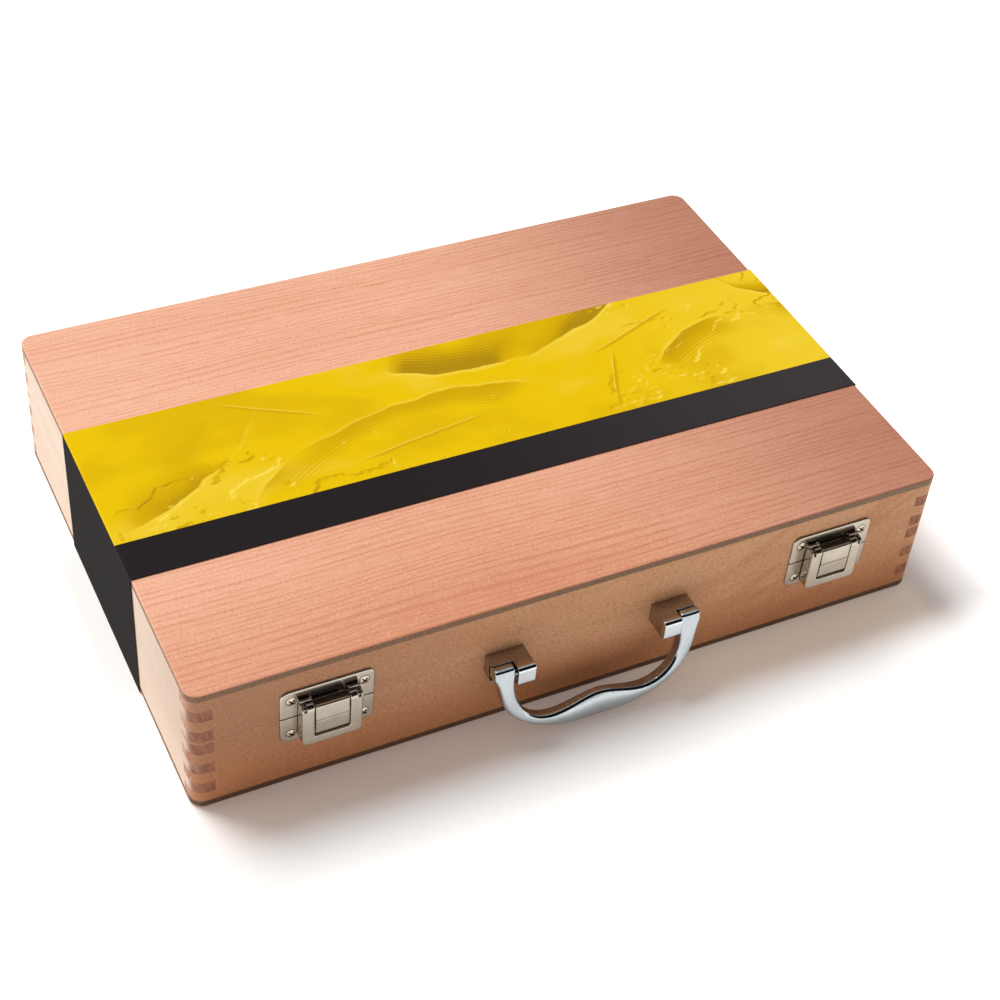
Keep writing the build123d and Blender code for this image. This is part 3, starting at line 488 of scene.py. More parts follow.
@dataclass(frozen=True)
class DividerPly:
    """Thin pale plywood of the dividers, with layers along the cut edges."""

    pale: Colour = tone(230, 198, 160)
    warm: Colour = tone(206, 164, 122)
    layer: Colour = tone(150, 108, 76)

    def material(self, name: str, grain: Grain) -> bpy.types.Material:
        """The finish of a divider.

        Args:
            name: The material's name.
            grain: The way the divider runs.

        Returns:
            The material.
        """
        material, bench = new_bench(name)
        x, y, z = bench.place()
        along, across = (x, y) if grain is Grain.ALONG_X else (y, x)
        stripes = bench.noise(bench.vector(along * 0.03, across * 0.5, z * 0.7), 3.0, 0.6)
        pores = bench.noise(bench.vector(along * 0.4, across * 2.0, z * 2.4), 1.0, 0.5)
        layers = (across * 5.0).sine().fade(-0.1, 0.5) * z.fade(33.9, 34.05)
        colour = bench.blend(stripes.fade(0.4, 0.7), self.pale, self.warm)
        colour = bench.blend(pores.fade(0.58, 0.7) * 0.35, colour, self.layer)
        colour = bench.blend(layers * 0.6, colour, self.layer)
        bench.surface(Base_Color=colour, Roughness=0.5 + pores * 0.15, Normal=bench.bump(pores, 0.05, 0.4))
        return material


@dataclass(frozen=True)
class PrintedCard:
    """Printed card: a bare black stripe, and thick yellow paint spread with a knife, in print.

    Painted light makes the yellow and the black paler towards the right.
    """

    yellow: Colour = tone(234, 197, 16)
    yellow_painted_lit: Colour = tone(240, 207, 48)
    lit: Colour = tone(246, 220, 84)
    shade: Colour = tone(212, 172, 14)
    hollow: Colour = tone(172, 136, 22)
    black: Colour = tone(38, 34, 36)
    painted_sheen: Colour = tone(64, 60, 62)
    turned: Colour = tone(58, 56, 57)
    back: Colour = tone(214, 206, 192)
    stripe_y: float = -29.0
    side_x: float = 177.78
    step: float = 0.6
    rib_density: float = 3.1
    scoops: tuple[tuple[float, float, float, float, float], ...] = (
        (-196.0, 96.0, 122.0, 42.0, 0.9),
        (-20.0, -118.0, 132.0, 30.0, 0.6),
        (24.0, 142.0, 118.0, 46.0, 1.0),
        (158.0, -84.0, 104.0, 26.0, 0.75),
        (214.0, 84.0, 70.0, 20.0, 0.95),
    )
    scores: tuple[tuple[float, float, float, float], ...] = (
        (96.0, 24.0, 0.35, 34.0),
        (72.0, -4.0, 1.15, 22.0),
        (-88.0, 30.0, -0.5, 30.0),
        (-30.0, -12.0, 0.16, 40.0),
    )

    def relief(self, bench: Bench, x: Wire, y: Wire) -> Wire:
        """The small creases and crumbs of the pictured paint.

        Args:
            bench: The material's bench.
            x: X in millimetres.
            y: Y in millimetres.

        Returns:
            The height, about 0 to 1.
        """
        folds = bench.noise(bench.vector(x * 0.016, y * 0.022, 31.0), 4.0, 0.5)
        where = bench.noise(bench.vector(x * 0.012, y * 0.012, 44.0), 1.0, 0.5)
        crumbs = bench.noise(bench.vector(x * 0.3, y * 0.3, 15.0), 2.0, 0.5)
        height = folds.fade(0.5, 0.54) * 0.5 * where.fade(0.46, 0.56)
        height = height + folds.fade(0.6, 0.63) * 0.35 * where.fade(0.42, 0.52)
        return height + crumbs.fade(0.68, 0.78) * 0.25 * where.fade(0.5, 0.58)

    def strokes(self, bench: Bench, x: Wire, y: Wire) -> tuple[Wire, Wire]:
        """The scoops and the scored lines of the pictured knife, each with a shaded side and a bright lip.

        Args:
            bench: The material's bench.
            x: X in millimetres.
            y: Y in millimetres.

        Returns:
            How deep the shade is and how bright the lip is, each from 0 to 1.
        """
        drift = bench.noise(bench.vector(x * 0.018, y * 0.018, 0.0), 2.0, 0.5)
        ragged = bench.noise(bench.vector(x * 0.1, y * 0.1, 4.0), 2.0, 0.5)
        shade, lip = drift * 0.0, drift * 0.0
        for index, (centre_x, centre_y, radius, reach, depth) in enumerate(self.scoops):
            off_x, off_y = x - centre_x, y - centre_y
            ring = (off_x * off_x + off_y * off_y).root()
            gap = ring - radius + drift * 16.0 + ragged * 2.4 - 9.0
            patch = bench.noise(bench.vector(x * 0.02, y * 0.02, 50.0 + index * 6.0), 1.0, 0.5).fade(0.36, 0.6)
            hollow = gap.fade(-reach, -0.5)
            shade = shade.larger(hollow * hollow * gap.fade(0.5, -0.4) * patch * depth)
            lip = lip.larger(gap.fade(-0.3, 0.4) * gap.fade(2.6, 0.7) * patch * depth)
            drag = (ring * self.rib_density).sine() * gap.fade(-60.0, -30.0) * gap.fade(-3.0, -10.0)
            shade = shade + drag * 0.12 * patch
        for centre_x, centre_y, turn, reach in self.scores:
            off_x, off_y = x - centre_x, y - centre_y
            beside = off_y * math.cos(turn) - off_x * math.sin(turn) + drift * 3.0 + ragged * 0.8 - 1.9
            along = abs(off_x * math.cos(turn) + off_y * math.sin(turn))
            here = along.fade(reach, reach * 0.4)
            shade = shade.larger(beside.fade(-2.6, -0.1) * beside.fade(0.2, -0.1) * here * 0.62)
            lip = lip.larger(beside.fade(-0.1, 0.2) * beside.fade(1.2, 0.3) * here)
        return shade, lip

    def material(self, name: str) -> bpy.types.Material:
        """The band's finish.

        Args:
            name: The material's name.

        Returns:
            The material.
        """
        material, bench = new_bench(name)
        x, y, z = bench.place()
        slope = self.relief(bench, x, y) - self.relief(bench, x + self.step, y - self.step * 0.8)
        shade, lip = self.strokes(bench, x, y)
        cloud = bench.noise(bench.vector(x * 0.012, y * 0.02, 70.0), 3.0, 0.5)
        weave = (x * 2.6 + y * 1.5).sine() * (x * 1.2 - y * 2.4).sine() * cloud.fade(0.46, 0.54) * 0.16
        # Painted light: the yellow gets paler towards the right end.
        ground = bench.blend(x.fade(60.0, 178.0), self.yellow, self.yellow_painted_lit)
        ground = bench.blend(cloud.fade(0.54, 0.66) * 0.35, ground, self.lit)
        print_colour = bench.blend(cloud.fade(0.5, 0.36) * 0.5 + weave, ground, self.shade)
        print_colour = bench.blend(shade.fade(0.0, 0.55), print_colour, self.shade)
        print_colour = bench.blend(shade.fade(0.5, 1.0) * 0.9, print_colour, self.hollow)
        print_colour = bench.blend(lip * 0.55, print_colour, self.lit)
        print_colour = bench.blend(slope.fade(0.02, 0.18), print_colour, self.lit)
        print_colour = bench.blend(slope.fade(-0.02, -0.1) * 0.8, print_colour, self.shade)
        print_colour = bench.blend(slope.fade(-0.08, -0.34), print_colour, self.hollow)
        fibre = bench.noise(bench.vector(x * 0.8, y * 0.8, z * 0.8), 3.0, 0.6)
        # Painted sheen: the black gets lighter towards the right, mixed with the fibre's own mottle.
        dark = bench.blend(x.fade(-60.0, 178.0) * 0.8 + fibre * 0.2, self.black, self.painted_sheen)
        edge = abs(x).fade(self.side_x, self.side_x + 0.02)
        dark = bench.blend(edge * (0.85 + fibre * 0.15), dark, self.turned)
        bare = y.fade(self.stripe_y + 0.05, self.stripe_y - 0.05).larger(edge).larger(z.fade(60.0, 40.0))
        colour = bench.blend(bare, print_colour, dark)
        wrong_side = abs(x).fade(177.72, 177.7) * z.fade(69.02, 69.0) * z.fade(0.38, 0.4)
        colour = bench.blend(wrong_side, colour, self.back)
        tooth = bench.noise(bench.vector(x * 2.0, y * 2.0, z * 2.0), 2.0, 0.6)
        bench.surface(
            Base_Color=colour,
            Roughness=0.5 + tooth * 0.08,
            Specular_IOR_Level=0.0,
            Normal=bench.bump(tooth, 0.015, 0.25),
        )
        return material


@dataclass(frozen=True)
class BrightPlate:
    """Polished or satin plated metal with faint smears and a grain of fine scratches.

    A depth of the object's own Y, where one is given, turns darker towards the wood. This is painted shade:
    in the cross of a screw's head, and on a post's sides, which would otherwise mirror as brightly as the front.
    """

    colour: Colour
    shadow: Colour
    roughness: float
    smear: float
    grit_mm: float
    edge_mm: float
    shade_from_y: float | None = None
    recess_painted_shade: Colour = tone(42, 36, 32)
    shade_soft_mm: float = 0.1

    def material(self, name: str) -> bpy.types.Material:
        """The metal's finish.

        Args:
            name: The material's name.

        Returns:
            The material.
        """
        material, bench = new_bench(name)
        x, y, z = bench.place()
        cloud = bench.noise(bench.vector(x * 0.12, y * 0.12, z * 0.12), 3.0, 0.6)
        scratch = bench.noise(bench.vector(x * 0.3, y * 4.0, z * 4.0), 2.0, 0.6)
        colour = bench.blend(cloud.fade(0.3, 0.75), self.colour, self.shadow)
        # Painted shade towards the wood, past the given depth of Y.
        if self.shade_from_y is not None:
            colour = bench.blend(abs(y).fade(self.shade_from_y + self.shade_soft_mm, self.shade_from_y), colour, self.recess_painted_shade)
        rough = self.roughness + cloud * self.smear + scratch * self.smear * 0.6
        bench.surface(
            Base_Color=colour,
            Metallic=1.0,
            Roughness=rough,
            Normal=bench.bump(scratch, self.grit_mm, 0.25, self.softened(bench)),
        )
        return material

    def softened(self, bench: Bench) -> Wire:
        """The normal with the sharp edges rounded off, as tumbling and plating leave them."""
        return bench.wire("ShaderNodeBevel", {"samples": 6}, {"Radius": self.edge_mm * MM})


@dataclass(frozen=True)
class TubeLaminate:
    """White laminate of a paint tube with a ring of its colour and a crimped tail."""

    white: Colour = tone(232, 230, 224)
    grey: Colour = tone(186, 186, 184)
    line: Colour = tone(70, 70, 72)

    def material(self, name: str, paint: Colour, centre_x: float) -> bpy.types.Material:
        """The finish of one tube.

        Args:
            name: The material's name.
            paint: The colour of the paint inside.
            centre_x: The tube's middle line, in millimetres.

        Returns:
            The material.
        """
        material, bench = new_bench(name)
        x, y, z = bench.place()
        swatch = y.fade(19.9, 20.0) * y.fade(40.1, 40.0)
        rule = y.fade(42.9, 43.0) * y.fade(43.7, 43.6)
        crimp = y.fade(89.9, 90.2)
        mottled = bench.noise(bench.vector(x * 0.2, y * 0.2, z * 0.2), 3.0, 0.6)
        colour = bench.blend(mottled.fade(0.3, 0.8) * 0.5, self.white, self.grey)
        colour = bench.blend(swatch, colour, paint)
        colour = bench.blend(rule * 0.8, colour, self.line)
        ribs = ((x - centre_x) * 3.4).sine() * crimp
        dents = bench.noise(bench.vector(x * 0.06, y * 0.09, z * 0.06), 2.0, 0.5)
        height = dents + ribs * 0.06
        bench.surface(
            Base_Color=colour,
            Roughness=0.3 + mottled * 0.12,
            Coat_Weight=0.3,
            Coat_Roughness=0.15,
            Normal=bench.bump(height, 1.2, 0.35),
        )
        return material


@dataclass(frozen=True)
class CapPlastic:
    """Satin black moulded plastic with fine grip ribs round each cap."""

    colour: Colour = tone(40, 39, 39)
    dirt: Colour = tone(66, 63, 60)
    pitch: float = 33.5
    first_x: float = -150.75
    axis_z: float = 13.6

    def material(self, name: str) -> bpy.types.Material:
        """The caps' finish.

        Args:
            name: The material's name.

        Returns:
            The material.
        """
        material, bench = new_bench(name)
        x, y, z = bench.place()
        shift = (x - self.first_x + self.pitch / 2) / self.pitch
        beside = (shift.fract() - 0.5) * self.pitch
        turn = shift.maths("ARCTAN2", z - self.axis_z, beside)
        ribs = (turn * 36.0).sine() * y.fade(-11.4, -11.0) * y.fade(-2.0, -2.4)
        specks = bench.noise(bench.vector(x * 0.7, y * 0.7, z * 0.7), 2.0, 0.6)
        colour = bench.blend(specks.fade(0.4, 0.8) * 0.6, self.colour, self.dirt)
        bench.surface(Base_Color=colour, Roughness=0.34 + specks * 0.1, Normal=bench.bump(ribs * 0.5 + 0.5, 0.25, 0.8))
        return material


@dataclass(frozen=True)
class Lacquer:
    """Glossy lacquer over turned wood, dipped in a second colour at the tail."""

    body: Colour = tone(46, 42, 40)
    dip: Colour = tone(196, 52, 36)
    glint: Colour = tone(78, 66, 58)
    dip_end_x: float = -138.0

    def material(self, name: str) -> bpy.types.Material:
        """The brush handles' finish.

        Args:
            name: The material's name.

        Returns:
            The material.
        """
        material, bench = new_bench(name)
        x, y, z = bench.place()
        grain = bench.noise(bench.vector(x * 0.05, y * 1.4, z * 1.4), 3.0, 0.6)
        colour = bench.blend(grain.fade(0.4, 0.75), self.body, self.glint)
        colour = bench.blend(x.fade(self.dip_end_x + 0.1, self.dip_end_x), colour, self.dip)
        bench.surface(
            Base_Color=colour,
            Roughness=0.3 + grain * 0.1,
            Coat_Weight=0.8,
            Coat_Roughness=0.06,
            Normal=bench.bump(grain, 0.05, 0.3),
        )
        return material


@dataclass(frozen=True)
class Bristle:
    """Golden synthetic bristles with darker roots and pale tips."""

    root: Colour = tone(120, 70, 34)
    middle: Colour = tone(196, 134, 70)
    tip: Colour = tone(236, 204, 150)
    start_x: float = -2.5
    length: float = 16.0

    def material(self, name: str) -> bpy.types.Material:
        """The bristles' finish.

        Args:
            name: The material's name.

        Returns:
            The material.
        """
        material, bench = new_bench(name)
        x, y, z = bench.place()
        share = (x - self.start_x) / self.length
        strands = bench.noise(bench.vector(x * 0.08, y * 5.0, z * 5.0), 2.0, 0.6)
        colour = bench.blend(share.fade(0.0, 0.45), self.root, self.middle)
        colour = bench.blend(share.fade(0.5, 1.0), colour, self.tip)
        colour = bench.blend(strands.fade(0.45, 0.7) * 0.5, colour, self.root)
        bench.surface(Base_Color=colour, Roughness=0.4 + strands * 0.2, Normal=bench.bump(strands, 0.2, 0.6))
        return material


@dataclass(frozen=True)
class TurnedWood:
    """Oiled hardwood for the palette and the knife's grip, with long grain and fine pores."""

    pale: Colour
    deep: Colour
    pore: Colour
    gloss: float

    def material(self, name: str) -> bpy.types.Material:
        """The wood's finish.

        Args:
            name: The material's name.

        Returns:
            The material.
        """
        material, bench = new_bench(name)
        x, y, z = bench.place()
        sway = bench.noise(bench.vector(x * 0.02, y * 0.04, z * 0.04), 2.0) * 9.0
        rings = bench.noise(bench.vector(x * 0.01, (y + sway) * 0.32, z * 0.32), 3.0, 0.6)
        pores = bench.noise(bench.vector(x * 0.3, y * 2.6, z * 2.6), 1.0, 0.5)
        colour = bench.blend(rings.fade(0.35, 0.7), self.pale, self.deep)
        colour = bench.blend(pores.fade(0.58, 0.72) * 0.5, colour, self.pore)
        bench.surface(
            Base_Color=colour,
            Roughness=self.gloss + pores * 0.12,
            Coat_Weight=0.25,
            Coat_Roughness=0.2,
            Normal=bench.bump(pores, 0.05, 0.35),
        )
        return material


# The posts darken on their sides towards the wood: painted shade.
CHROME = BrightPlate(
    tone(224, 230, 234),
    tone(216, 223, 228),
    0.04,
    0.04,
    0.003,
    0.3,
    shade_from_y=129.5,
    recess_painted_shade=tone(168, 163, 158),
    shade_soft_mm=3.5,
)
# Painted shade: the bail is a darker copy of the chrome, for the dimmer reflection its arms and grip show.
SHADED_GRIP_CHROME = BrightPlate(tone(184, 192, 197), tone(177, 186, 191), 0.05, 0.05, 0.003, 0.4)
NICKEL = BrightPlate(tone(197, 188, 173), tone(184, 174, 159), 0.13, 0.09, 0.006, 0.9)
SCREW_STEEL = BrightPlate(tone(218, 212, 200), tone(180, 172, 158), 0.12, 0.12, 0.01, 0.1)
# The cross in each screw head is painted shade past the given depth of Y.
CROSS_HEAD = BrightPlate(tone(206, 196, 180), tone(178, 168, 150), 0.12, 0.12, 0.01, 0.08, shade_from_y=121.02)
HINGE_STEEL = BrightPlate(tone(206, 196, 172), tone(178, 166, 142), 0.22, 0.14, 0.02, 0.25)
BLADE_STEEL = BrightPlate(tone(222, 224, 226), tone(200, 203, 206), 0.14, 0.1, 0.01, 0.15)
FERRULE_METAL = BrightPlate(tone(232, 230, 224), tone(206, 204, 198), 0.12, 0.1, 0.006, 0.15)


@dataclass
class WoodenBox:
    """The base and the lid: two plywood sheets, eight finger-jointed walls and two dividers."""

    base_face: float = 0.6
    base_floor: float = 4.1
    parting: float = 41.0
    lid_ceiling: float = 65.3
    lid_face: float = 68.8
    lid_ply: BeechVeneer = BeechVeneer()
    # The base sheet's cut edge is darker than the lid's: painted shade where it meets the floor.
    base_ply_shaded_edge: BeechVeneer = BeechVeneer(
        core=tone(114, 86, 64),
        core_line=tone(80, 57, 43),
        core_painted_right_light=tone(122, 100, 78),
    )
    board: BeechBoard = BeechBoard()
    # Painted light: the left walls' outer faces are a paler copy of the beech, for the strong light and grazing sheen
    # from the left, with painted shade towards the front. Their end grain keeps its own colours.
    painted_lit_board: BeechBoard = BeechBoard(
        pale=tone(243, 224, 205),
        tan=tone(236, 212, 190),
        painted_shade_tone=tone(202, 173, 153),
        red=tone(238, 214, 193),
        pore=tone(206, 172, 148),
        end=tone(176, 116, 90),
        end_streak=tone(148, 92, 70),
        end_strength=1.0,
        end_lead=4.2,
        skin_x=177.0,
    )
    right_board: BeechBoard = BeechBoard(
        end=tone(184, 120, 84),
        end_streak=tone(150, 88, 62),
        end_strength=0.95,
    )

    def dress(self) -> list[str]:
        """Dresses the sheets, the walls and the dividers.

        Returns:
            The names of the nodes.
        """
        dress(self.lid_ply.material("lid_veneer", self.lid_face, self.lid_ceiling), "lid_sheet")
        dress(self.base_ply_shaded_edge.material("base_veneer", self.base_face, self.base_floor), "base_sheet")
        walls = ("front", "back", "left", "right")
        for index, wall in enumerate(walls):
            grain = Grain.ALONG_X if wall in ("front", "back") else Grain.ALONG_Y
            board = {"left": self.painted_lit_board, "right": self.right_board}.get(wall, self.board)
            for part in ("base", "lid"):
                finish = board.material(f"{part}_{wall}_beech", grain, 8.0, 42.0, 20.0 + index * 7.0)
                dress(finish, f"{part}_{wall}_wall")
        ply = DividerPly()
        dress(ply.material("long_divider_ply", Grain.ALONG_X), "long_divider")
        dress(ply.material("short_divider_ply", Grain.ALONG_Y), "short_divider")
        return [f"{part}_{wall}_wall" for part in ("base", "lid") for wall in walls]


@dataclass
class CardBand:
    """The printed card round the box, in an upper and a lower half."""

    halves: tuple[str, str] = ("band_upper", "band_lower")

    def dress(self) -> list[str]:
        """Dresses both halves with one print.

        Returns:
            The names of the nodes.
        """
        dress(PrintedCard().material("printed_card"), *self.halves)
        return list(self.halves)


@dataclass
class Fittings:
    """Handle, latches and hinges: everything of metal on the outside of the box."""

    chrome_nodes: tuple[str, ...] = ("left_handle_post", "right_handle_post", "handle_pins")
    screw_nodes: tuple[str, ...] = (
        "latch_base_screws",
        "latch_keeper_screws",
        "hinge_base_screws",
        "hinge_lid_screws",
    )

    def dress(self) -> list[str]:
        """Dresses the metal pieces.

        Returns:
            The names of the nodes.
        """
        dress(CHROME.material("chrome"), *self.chrome_nodes)
        dress(SHADED_GRIP_CHROME.material("shaded_grip_chrome"), "handle_bail")
        dress(SCREW_STEEL.material("screw_steel"), "handle_screws")
        dress(CROSS_HEAD.material("cross_head_steel"), *self.screw_nodes)
        nickel = []
        hinge = ["hinge_pins"]
        for side in Side:
            nickel += [f"{side.value}_latch_{part}" for part in (
                "base_plate",
                "keeper_plate",
                "lever",
                "lever_pins",
                "link_pin",
                "link",
            )]
            hinge += [f"{side.value}_hinge_base_leaf", f"{side.value}_hinge_lid_leaf"]
        dress(NICKEL.material("satin_nickel"), *nickel)
        dress(HINGE_STEEL.material("hinge_steel"), *hinge)
        return ["handle_bail", *self.chrome_nodes, "handle_screws", *self.screw_nodes, *nickel, *hinge]


@dataclass
class PaintTubes:
    """Ten paint tubes side by side in the back bay."""

    first_x: float = -150.75
    pitch: float = 33.5
    paints: tuple[Colour, ...] = (
        tone(240, 236, 226),
        tone(246, 206, 30),
        tone(232, 120, 28),
        tone(196, 40, 34),
        tone(150, 28, 70),
        tone(42, 60, 140),
        tone(30, 110, 160),
        tone(28, 110, 70),
        tone(120, 74, 40),
        tone(32, 30, 32),
    )

    def dress(self) -> list[str]:
        """Dresses each tube with its own colour.

        Returns:
            The names of the nodes.
        """
        names = []
        laminate = TubeLaminate()
        for index, paint in enumerate(self.paints):
            name = f"paint_tube_{index + 1:02d}"
            centre = self.first_x + index * self.pitch
            dress(laminate.material(f"laminate_{index + 1:02d}", paint, centre), name)
            names.append(name)
        dress(CapPlastic(first_x=self.first_x, pitch=self.pitch).material("cap_plastic"), "tube_caps")
        return [*names, "tube_caps"]


@dataclass
class Brushes:
    """Three round brushes; their tufts are built strand by strand."""

    rows_y: tuple[float, ...] = (-98.0, -83.0, -68.0)
    axis_z: float = 8.0
    start_x: float = -2.5
    length: float = 16.0
    radius: float = 3.0
    tip_radius: float = 0.5
    strands: int = 150
    strand_radius: float = 0.26
    strand_steps: int = 5

    def core(self, mesh: bmesh.types.BMesh) -> None:
        """A tapered body that fills the tuft behind the outer strands.

        Args:
            mesh: The mesh it is added to.
        """
        bmesh.ops.create_cone(
            mesh,
            cap_ends=True,
            segments=20,
            radius1=self.radius * 0.9,
            radius2=self.tip_radius * 0.6,
            depth=self.length * 0.9,
            matrix=Matrix.Translation((0, 0, self.length * 0.45)),
        )

    def strand(self, mesh: bmesh.types.BMesh, index: int) -> None:
        """One bristle, drawn upwards in steps so that it bellies out and leans to the tip.

        Args:
            mesh: The mesh it is added to.
            index: Which bristle it is, which sets its place in the tuft.
        """
        turn = index * 2.39996
        share = math.sqrt((index + 0.5) / self.strands)
        foot = Vector((math.cos(turn), math.sin(turn), 0)) * self.radius * 0.95 * share
        reach = self.length * (1.0 - 0.16 * share * share) * (0.97 + 0.03 * math.sin(index * 5.1))
        made = bmesh.ops.create_circle(
            mesh,
            cap_ends=True,
            segments=3,
            radius=self.strand_radius,
            matrix=Matrix.Translation(foot),
        )
        face = made["verts"][0].link_faces[0]
        centre = foot
        for step in range(1, self.strand_steps + 1):
            height = step / self.strand_steps
            grown = bmesh.ops.extrude_face_region(mesh, geom=[face])["geom"]
            verts = [part for part in grown if isinstance(part, bmesh.types.BMVert)]
            face = next(part for part in grown if isinstance(part, bmesh.types.BMFace))
            spread = 1.0 + 0.16 * math.sin(height * math.pi * 0.9) - 0.86 * height ** 2.2
            target = Vector((foot.x * spread, foot.y * spread, reach * height))
            bmesh.ops.translate(mesh, verts=verts, vec=target - centre)
            bmesh.ops.scale(mesh, verts=verts, vec=(0.86, 0.86, 1.0), space=Matrix.Translation(-target))
            centre = target

    def build(self) -> list[str]:
        """Builds the three tufts and dresses handles and ferrules.

        Returns:
            The names of the pieces.
        """
        finish = Bristle(start_x=self.start_x, length=self.length).material("bristle")
        names = []
        for row, y in enumerate(self.rows_y):
            mesh = bmesh.new()
            self.core(mesh)
            for index in range(self.strands):
                self.strand(mesh, index)
            bmesh.ops.recalc_face_normals(mesh, faces=mesh.faces)
            bmesh.ops.transform(mesh, verts=mesh.verts, matrix=Matrix.Scale(MM, 4))
            place = Matrix.Translation((self.start_x * MM, y * MM, self.axis_z * MM))
            turn = Matrix.Rotation(math.radians(90), 4, "Y")
            bmesh.ops.transform(mesh, verts=mesh.verts, matrix=place @ turn)
            data = bpy.data.meshes.new(f"brush_tuft_{row + 1}")
            mesh.to_mesh(data)
            mesh.free()
            piece = bpy.data.objects.new(data.name, data)
            bpy.context.scene.collection.objects.link(piece)
            data.materials.append(finish)
            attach(piece, "base")
            if row == 0:
                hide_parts("brush_tufts")
            names.append(piece.name)
        dress(Lacquer().material("brush_lacquer"), "brush_handles")
        dress(FERRULE_METAL.material("ferrule_metal"), "brush_ferrules")
        return [*names, "brush_handles", "brush_ferrules"]


@dataclass
class PaletteAndKnife:
    """The wooden palette and the palette knife."""

    board: TurnedWood = TurnedWood(tone(214, 170, 118), tone(184, 134, 84), tone(128, 84, 50), 0.42)
    grip: TurnedWood = TurnedWood(tone(150, 92, 52), tone(110, 62, 34), tone(66, 36, 22), 0.34)

    def dress(self) -> list[str]:
        """Dresses the palette, the grip and the blade.

        Returns:
            The names of the nodes.
        """
        dress(self.board.material("palette_wood"), "palette")
        dress(self.grip.material("grip_wood"), "knife_handle")
        dress(BLADE_STEEL.material("blade_steel"), "knife_blade")
        return ["palette", "knife_handle", "knife_blade"]


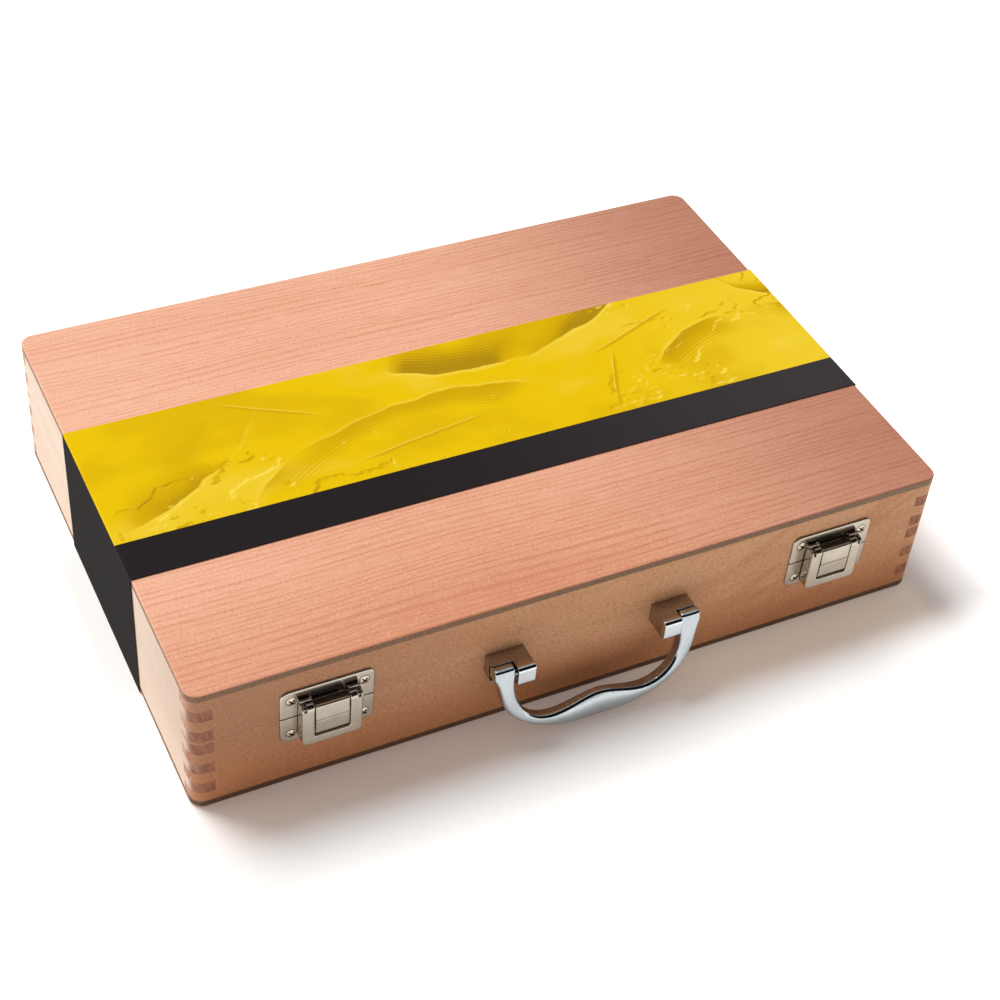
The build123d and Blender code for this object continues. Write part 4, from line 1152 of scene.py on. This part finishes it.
@dataclass
class Studio:
    """White floor, soft key from above the back left, a broad fill from the left, and the camera."""

    floor_reach: float = 6.0
    key_power: float = 2.45
    key_from: tuple[float, float, float] = (-0.26, 0.53, 1.0)
    key_spread: float = 25.0
    fill_power: float = 7.4
    fill_place: tuple[float, float, float] = (-1.5, 0.75, 0.5)
    fill_size: tuple[float, float] = (1.4, 0.9)
    ambient: Colour = (0.318, 0.286, 0.264, 1.0)
    camera_place: tuple[float, float, float] = (-0.31573, -0.59395, 0.63477)
    camera_right: tuple[float, float, float] = (0.89931929, -0.43139712, 0.07156353)
    camera_down: tuple[float, float, float] = (-0.24735895, -0.63680391, -0.73027004)
    camera_forward: tuple[float, float, float] = (0.36060832, 0.63904405, -0.67939998)
    lens: float = 68.906

    def floor(self) -> str:
        """Makes the floor, white for the camera where no shadow falls. Near the box its glow is tinted by place,
        which paints part of the shadow's colour.

        Returns:
            The floor's name.
        """
        mesh = bmesh.new()
        bmesh.ops.create_circle(mesh, cap_ends=True, segments=96, radius=self.floor_reach)
        data = bpy.data.meshes.new("studio_floor")
        mesh.to_mesh(data)
        mesh.free()
        piece = bpy.data.objects.new("studio_floor", data)
        bpy.context.scene.collection.objects.link(piece)
        material, bench = new_bench("studio_floor")
        x, y, z = bench.place()
        paper = bench.noise(bench.vector(x * 0.4, y * 0.4, 0.0), 3.0, 0.6)
        colour = bench.blend(paper, tone(249, 247, 245), tone(252, 251, 250))
        cast = bench.node("ShaderNodeBsdfDiffuse", inputs={"Color": colour})
        # Painted shadow: near the box the camera's glow is tinted by place, warm in the umbra and cooler in the
        # penumbra. Away from the box the glow is white.
        beside = x.fade(202.0, 230.0).larger(x.fade(-186.0, -200.0))
        corner = x.fade(125.0, 175.0) * y.fade(-132.0, -160.0)
        away = beside.larger(corner).larger(y.fade(-165.0, -200.0)).larger(y.fade(125.0, 150.0))
        painted_shadow_tint = bench.blend(x.fade(0.0, 70.0), tone(138, 122, 115), tone(174, 160, 143))
        painted_penumbra_tint = bench.blend(x.fade(0.0, 120.0), tone(112, 132, 140), tone(188, 198, 203))
        painted_shadow_tint = bench.blend(y.fade(-138.0, -158.0), painted_shadow_tint, painted_penumbra_tint)
        painted_shadow_tint = bench.blend(x.fade(174.0, 188.0), painted_shadow_tint, tone(40, 60, 72))
        painted_shadow_tint = bench.blend(away, painted_shadow_tint, tone(255, 255, 255))
        white_and_shadow_glow = bench.node("ShaderNodeEmission", inputs={"Color": painted_shadow_tint, "Strength": 0.4})
        both = bench.node("ShaderNodeAddShader", inputs={0: cast.outputs[0], 1: white_and_shadow_glow.outputs[0]})
        ray = bench.node("ShaderNodeLightPath")
        seen = Wire(bench, ray.outputs["Is Camera Ray"]).larger(Wire(bench, ray.outputs["Is Glossy Ray"]))
        shown = bench.node("ShaderNodeMixShader", inputs={0: seen, 1: cast.outputs[0], 2: both.outputs[0]})
        bench.node("ShaderNodeOutputMaterial", inputs={0: shown.outputs[0]})
        data.materials.append(material)
        return piece.name

    def surround(self) -> str:
        """Makes the world: white to the camera, a soft room to the rest, dark overhead in front.

        Returns:
            The world's name.
        """
        world = bpy.data.worlds.new("studio_room")
        world.use_nodes = True
        bench = Bench(world.node_tree)
        parts = bench.node("ShaderNodeSeparateXYZ", inputs={0: bench.wire("ShaderNodeTexCoord", output="Generated")})
        front = Wire(bench, parts.outputs[1]).fade(0.25, -0.15)
        up = Wire(bench, parts.outputs[2])
        hood = up.fade(0.03, 0.16) * (0.25 + front * 0.75)
        mirrored = bench.blend(hood, tone(255, 255, 255), tone(22, 21, 20))
        ray = bench.node("ShaderNodeLightPath")
        camera = Wire(bench, ray.outputs["Is Camera Ray"])
        glossy = Wire(bench, ray.outputs["Is Glossy Ray"])
        clear = Wire(bench, ray.outputs["Is Transmission Ray"])
        room = bench.blend(glossy.larger(clear), self.ambient, mirrored)
        colour = bench.blend(camera, room, tone(255, 255, 255))
        shader = bench.node("ShaderNodeBackground", inputs={"Color": colour, "Strength": 1.0})
        bench.node("ShaderNodeOutputWorld", inputs={0: shader.outputs[0]})
        bpy.context.scene.world = world
        return world.name

    def lamps(self) -> list[str]:
        """Makes the key and the fill.

        Returns:
            The lamps' names.
        """
        key = bpy.data.lights.new("key_lamp", "SUN")
        key.energy = self.key_power
        key.angle = math.radians(self.key_spread)
        fill = bpy.data.lights.new("fill_lamp", "AREA")
        fill.energy = self.fill_power
        fill.shape = "RECTANGLE"
        fill.size, fill.size_y = self.fill_size
        for lamp, place, aim in ((key, self.key_from, (0, 0, 0)), (fill, self.fill_place, (0, 0, 0.03))):
            stand = bpy.data.objects.new(lamp.name, lamp)
            stand.location = place
            stand.rotation_euler = (Vector(aim) - Vector(place)).to_track_quat("-Z", "Y").to_euler()
            bpy.context.scene.collection.objects.link(stand)
        return [key.name, fill.name]

    def camera(self) -> str:
        """Makes the camera where the photographer's stood.

        Returns:
            The camera's name.
        """
        data = bpy.data.cameras.new("camera")
        data.sensor_width = 36.0
        data.sensor_fit = "HORIZONTAL"
        data.lens = self.lens
        data.clip_start = 0.01
        data.clip_end = 50.0
        stand = bpy.data.objects.new("camera", data)
        axes = (Vector(self.camera_right), -Vector(self.camera_down), -Vector(self.camera_forward))
        turn = Matrix(axes).transposed().to_4x4()
        stand.matrix_world = Matrix.Translation(self.camera_place) @ turn
        bpy.context.scene.collection.objects.link(stand)
        bpy.context.scene.camera = stand
        return stand.name

    def build(self) -> list[str]:
        """Sets up the whole studio.

        Returns:
            The names of what was made.
        """
        return [self.floor(), self.surround(), *self.lamps(), self.camera()]


def main() -> None:
    """Builds everything in order and reports each piece."""
    logging.basicConfig(level=logging.INFO, format="%(message)s")
    steps = (
        ("box", WoodenBox().dress),
        ("band", CardBand().dress),
        ("fittings", Fittings().dress),
        ("tubes", PaintTubes().dress),
        ("brushes", Brushes().build),
        ("palette and knife", PaletteAndKnife().dress),
        ("studio", Studio().build),
    )
    for title, step in steps:
        for name in step():
            LOG.info("%s: %s", title, name)
    bpy.context.scene.view_settings.view_transform = "Standard"


if __name__ == "__main__":
    main()
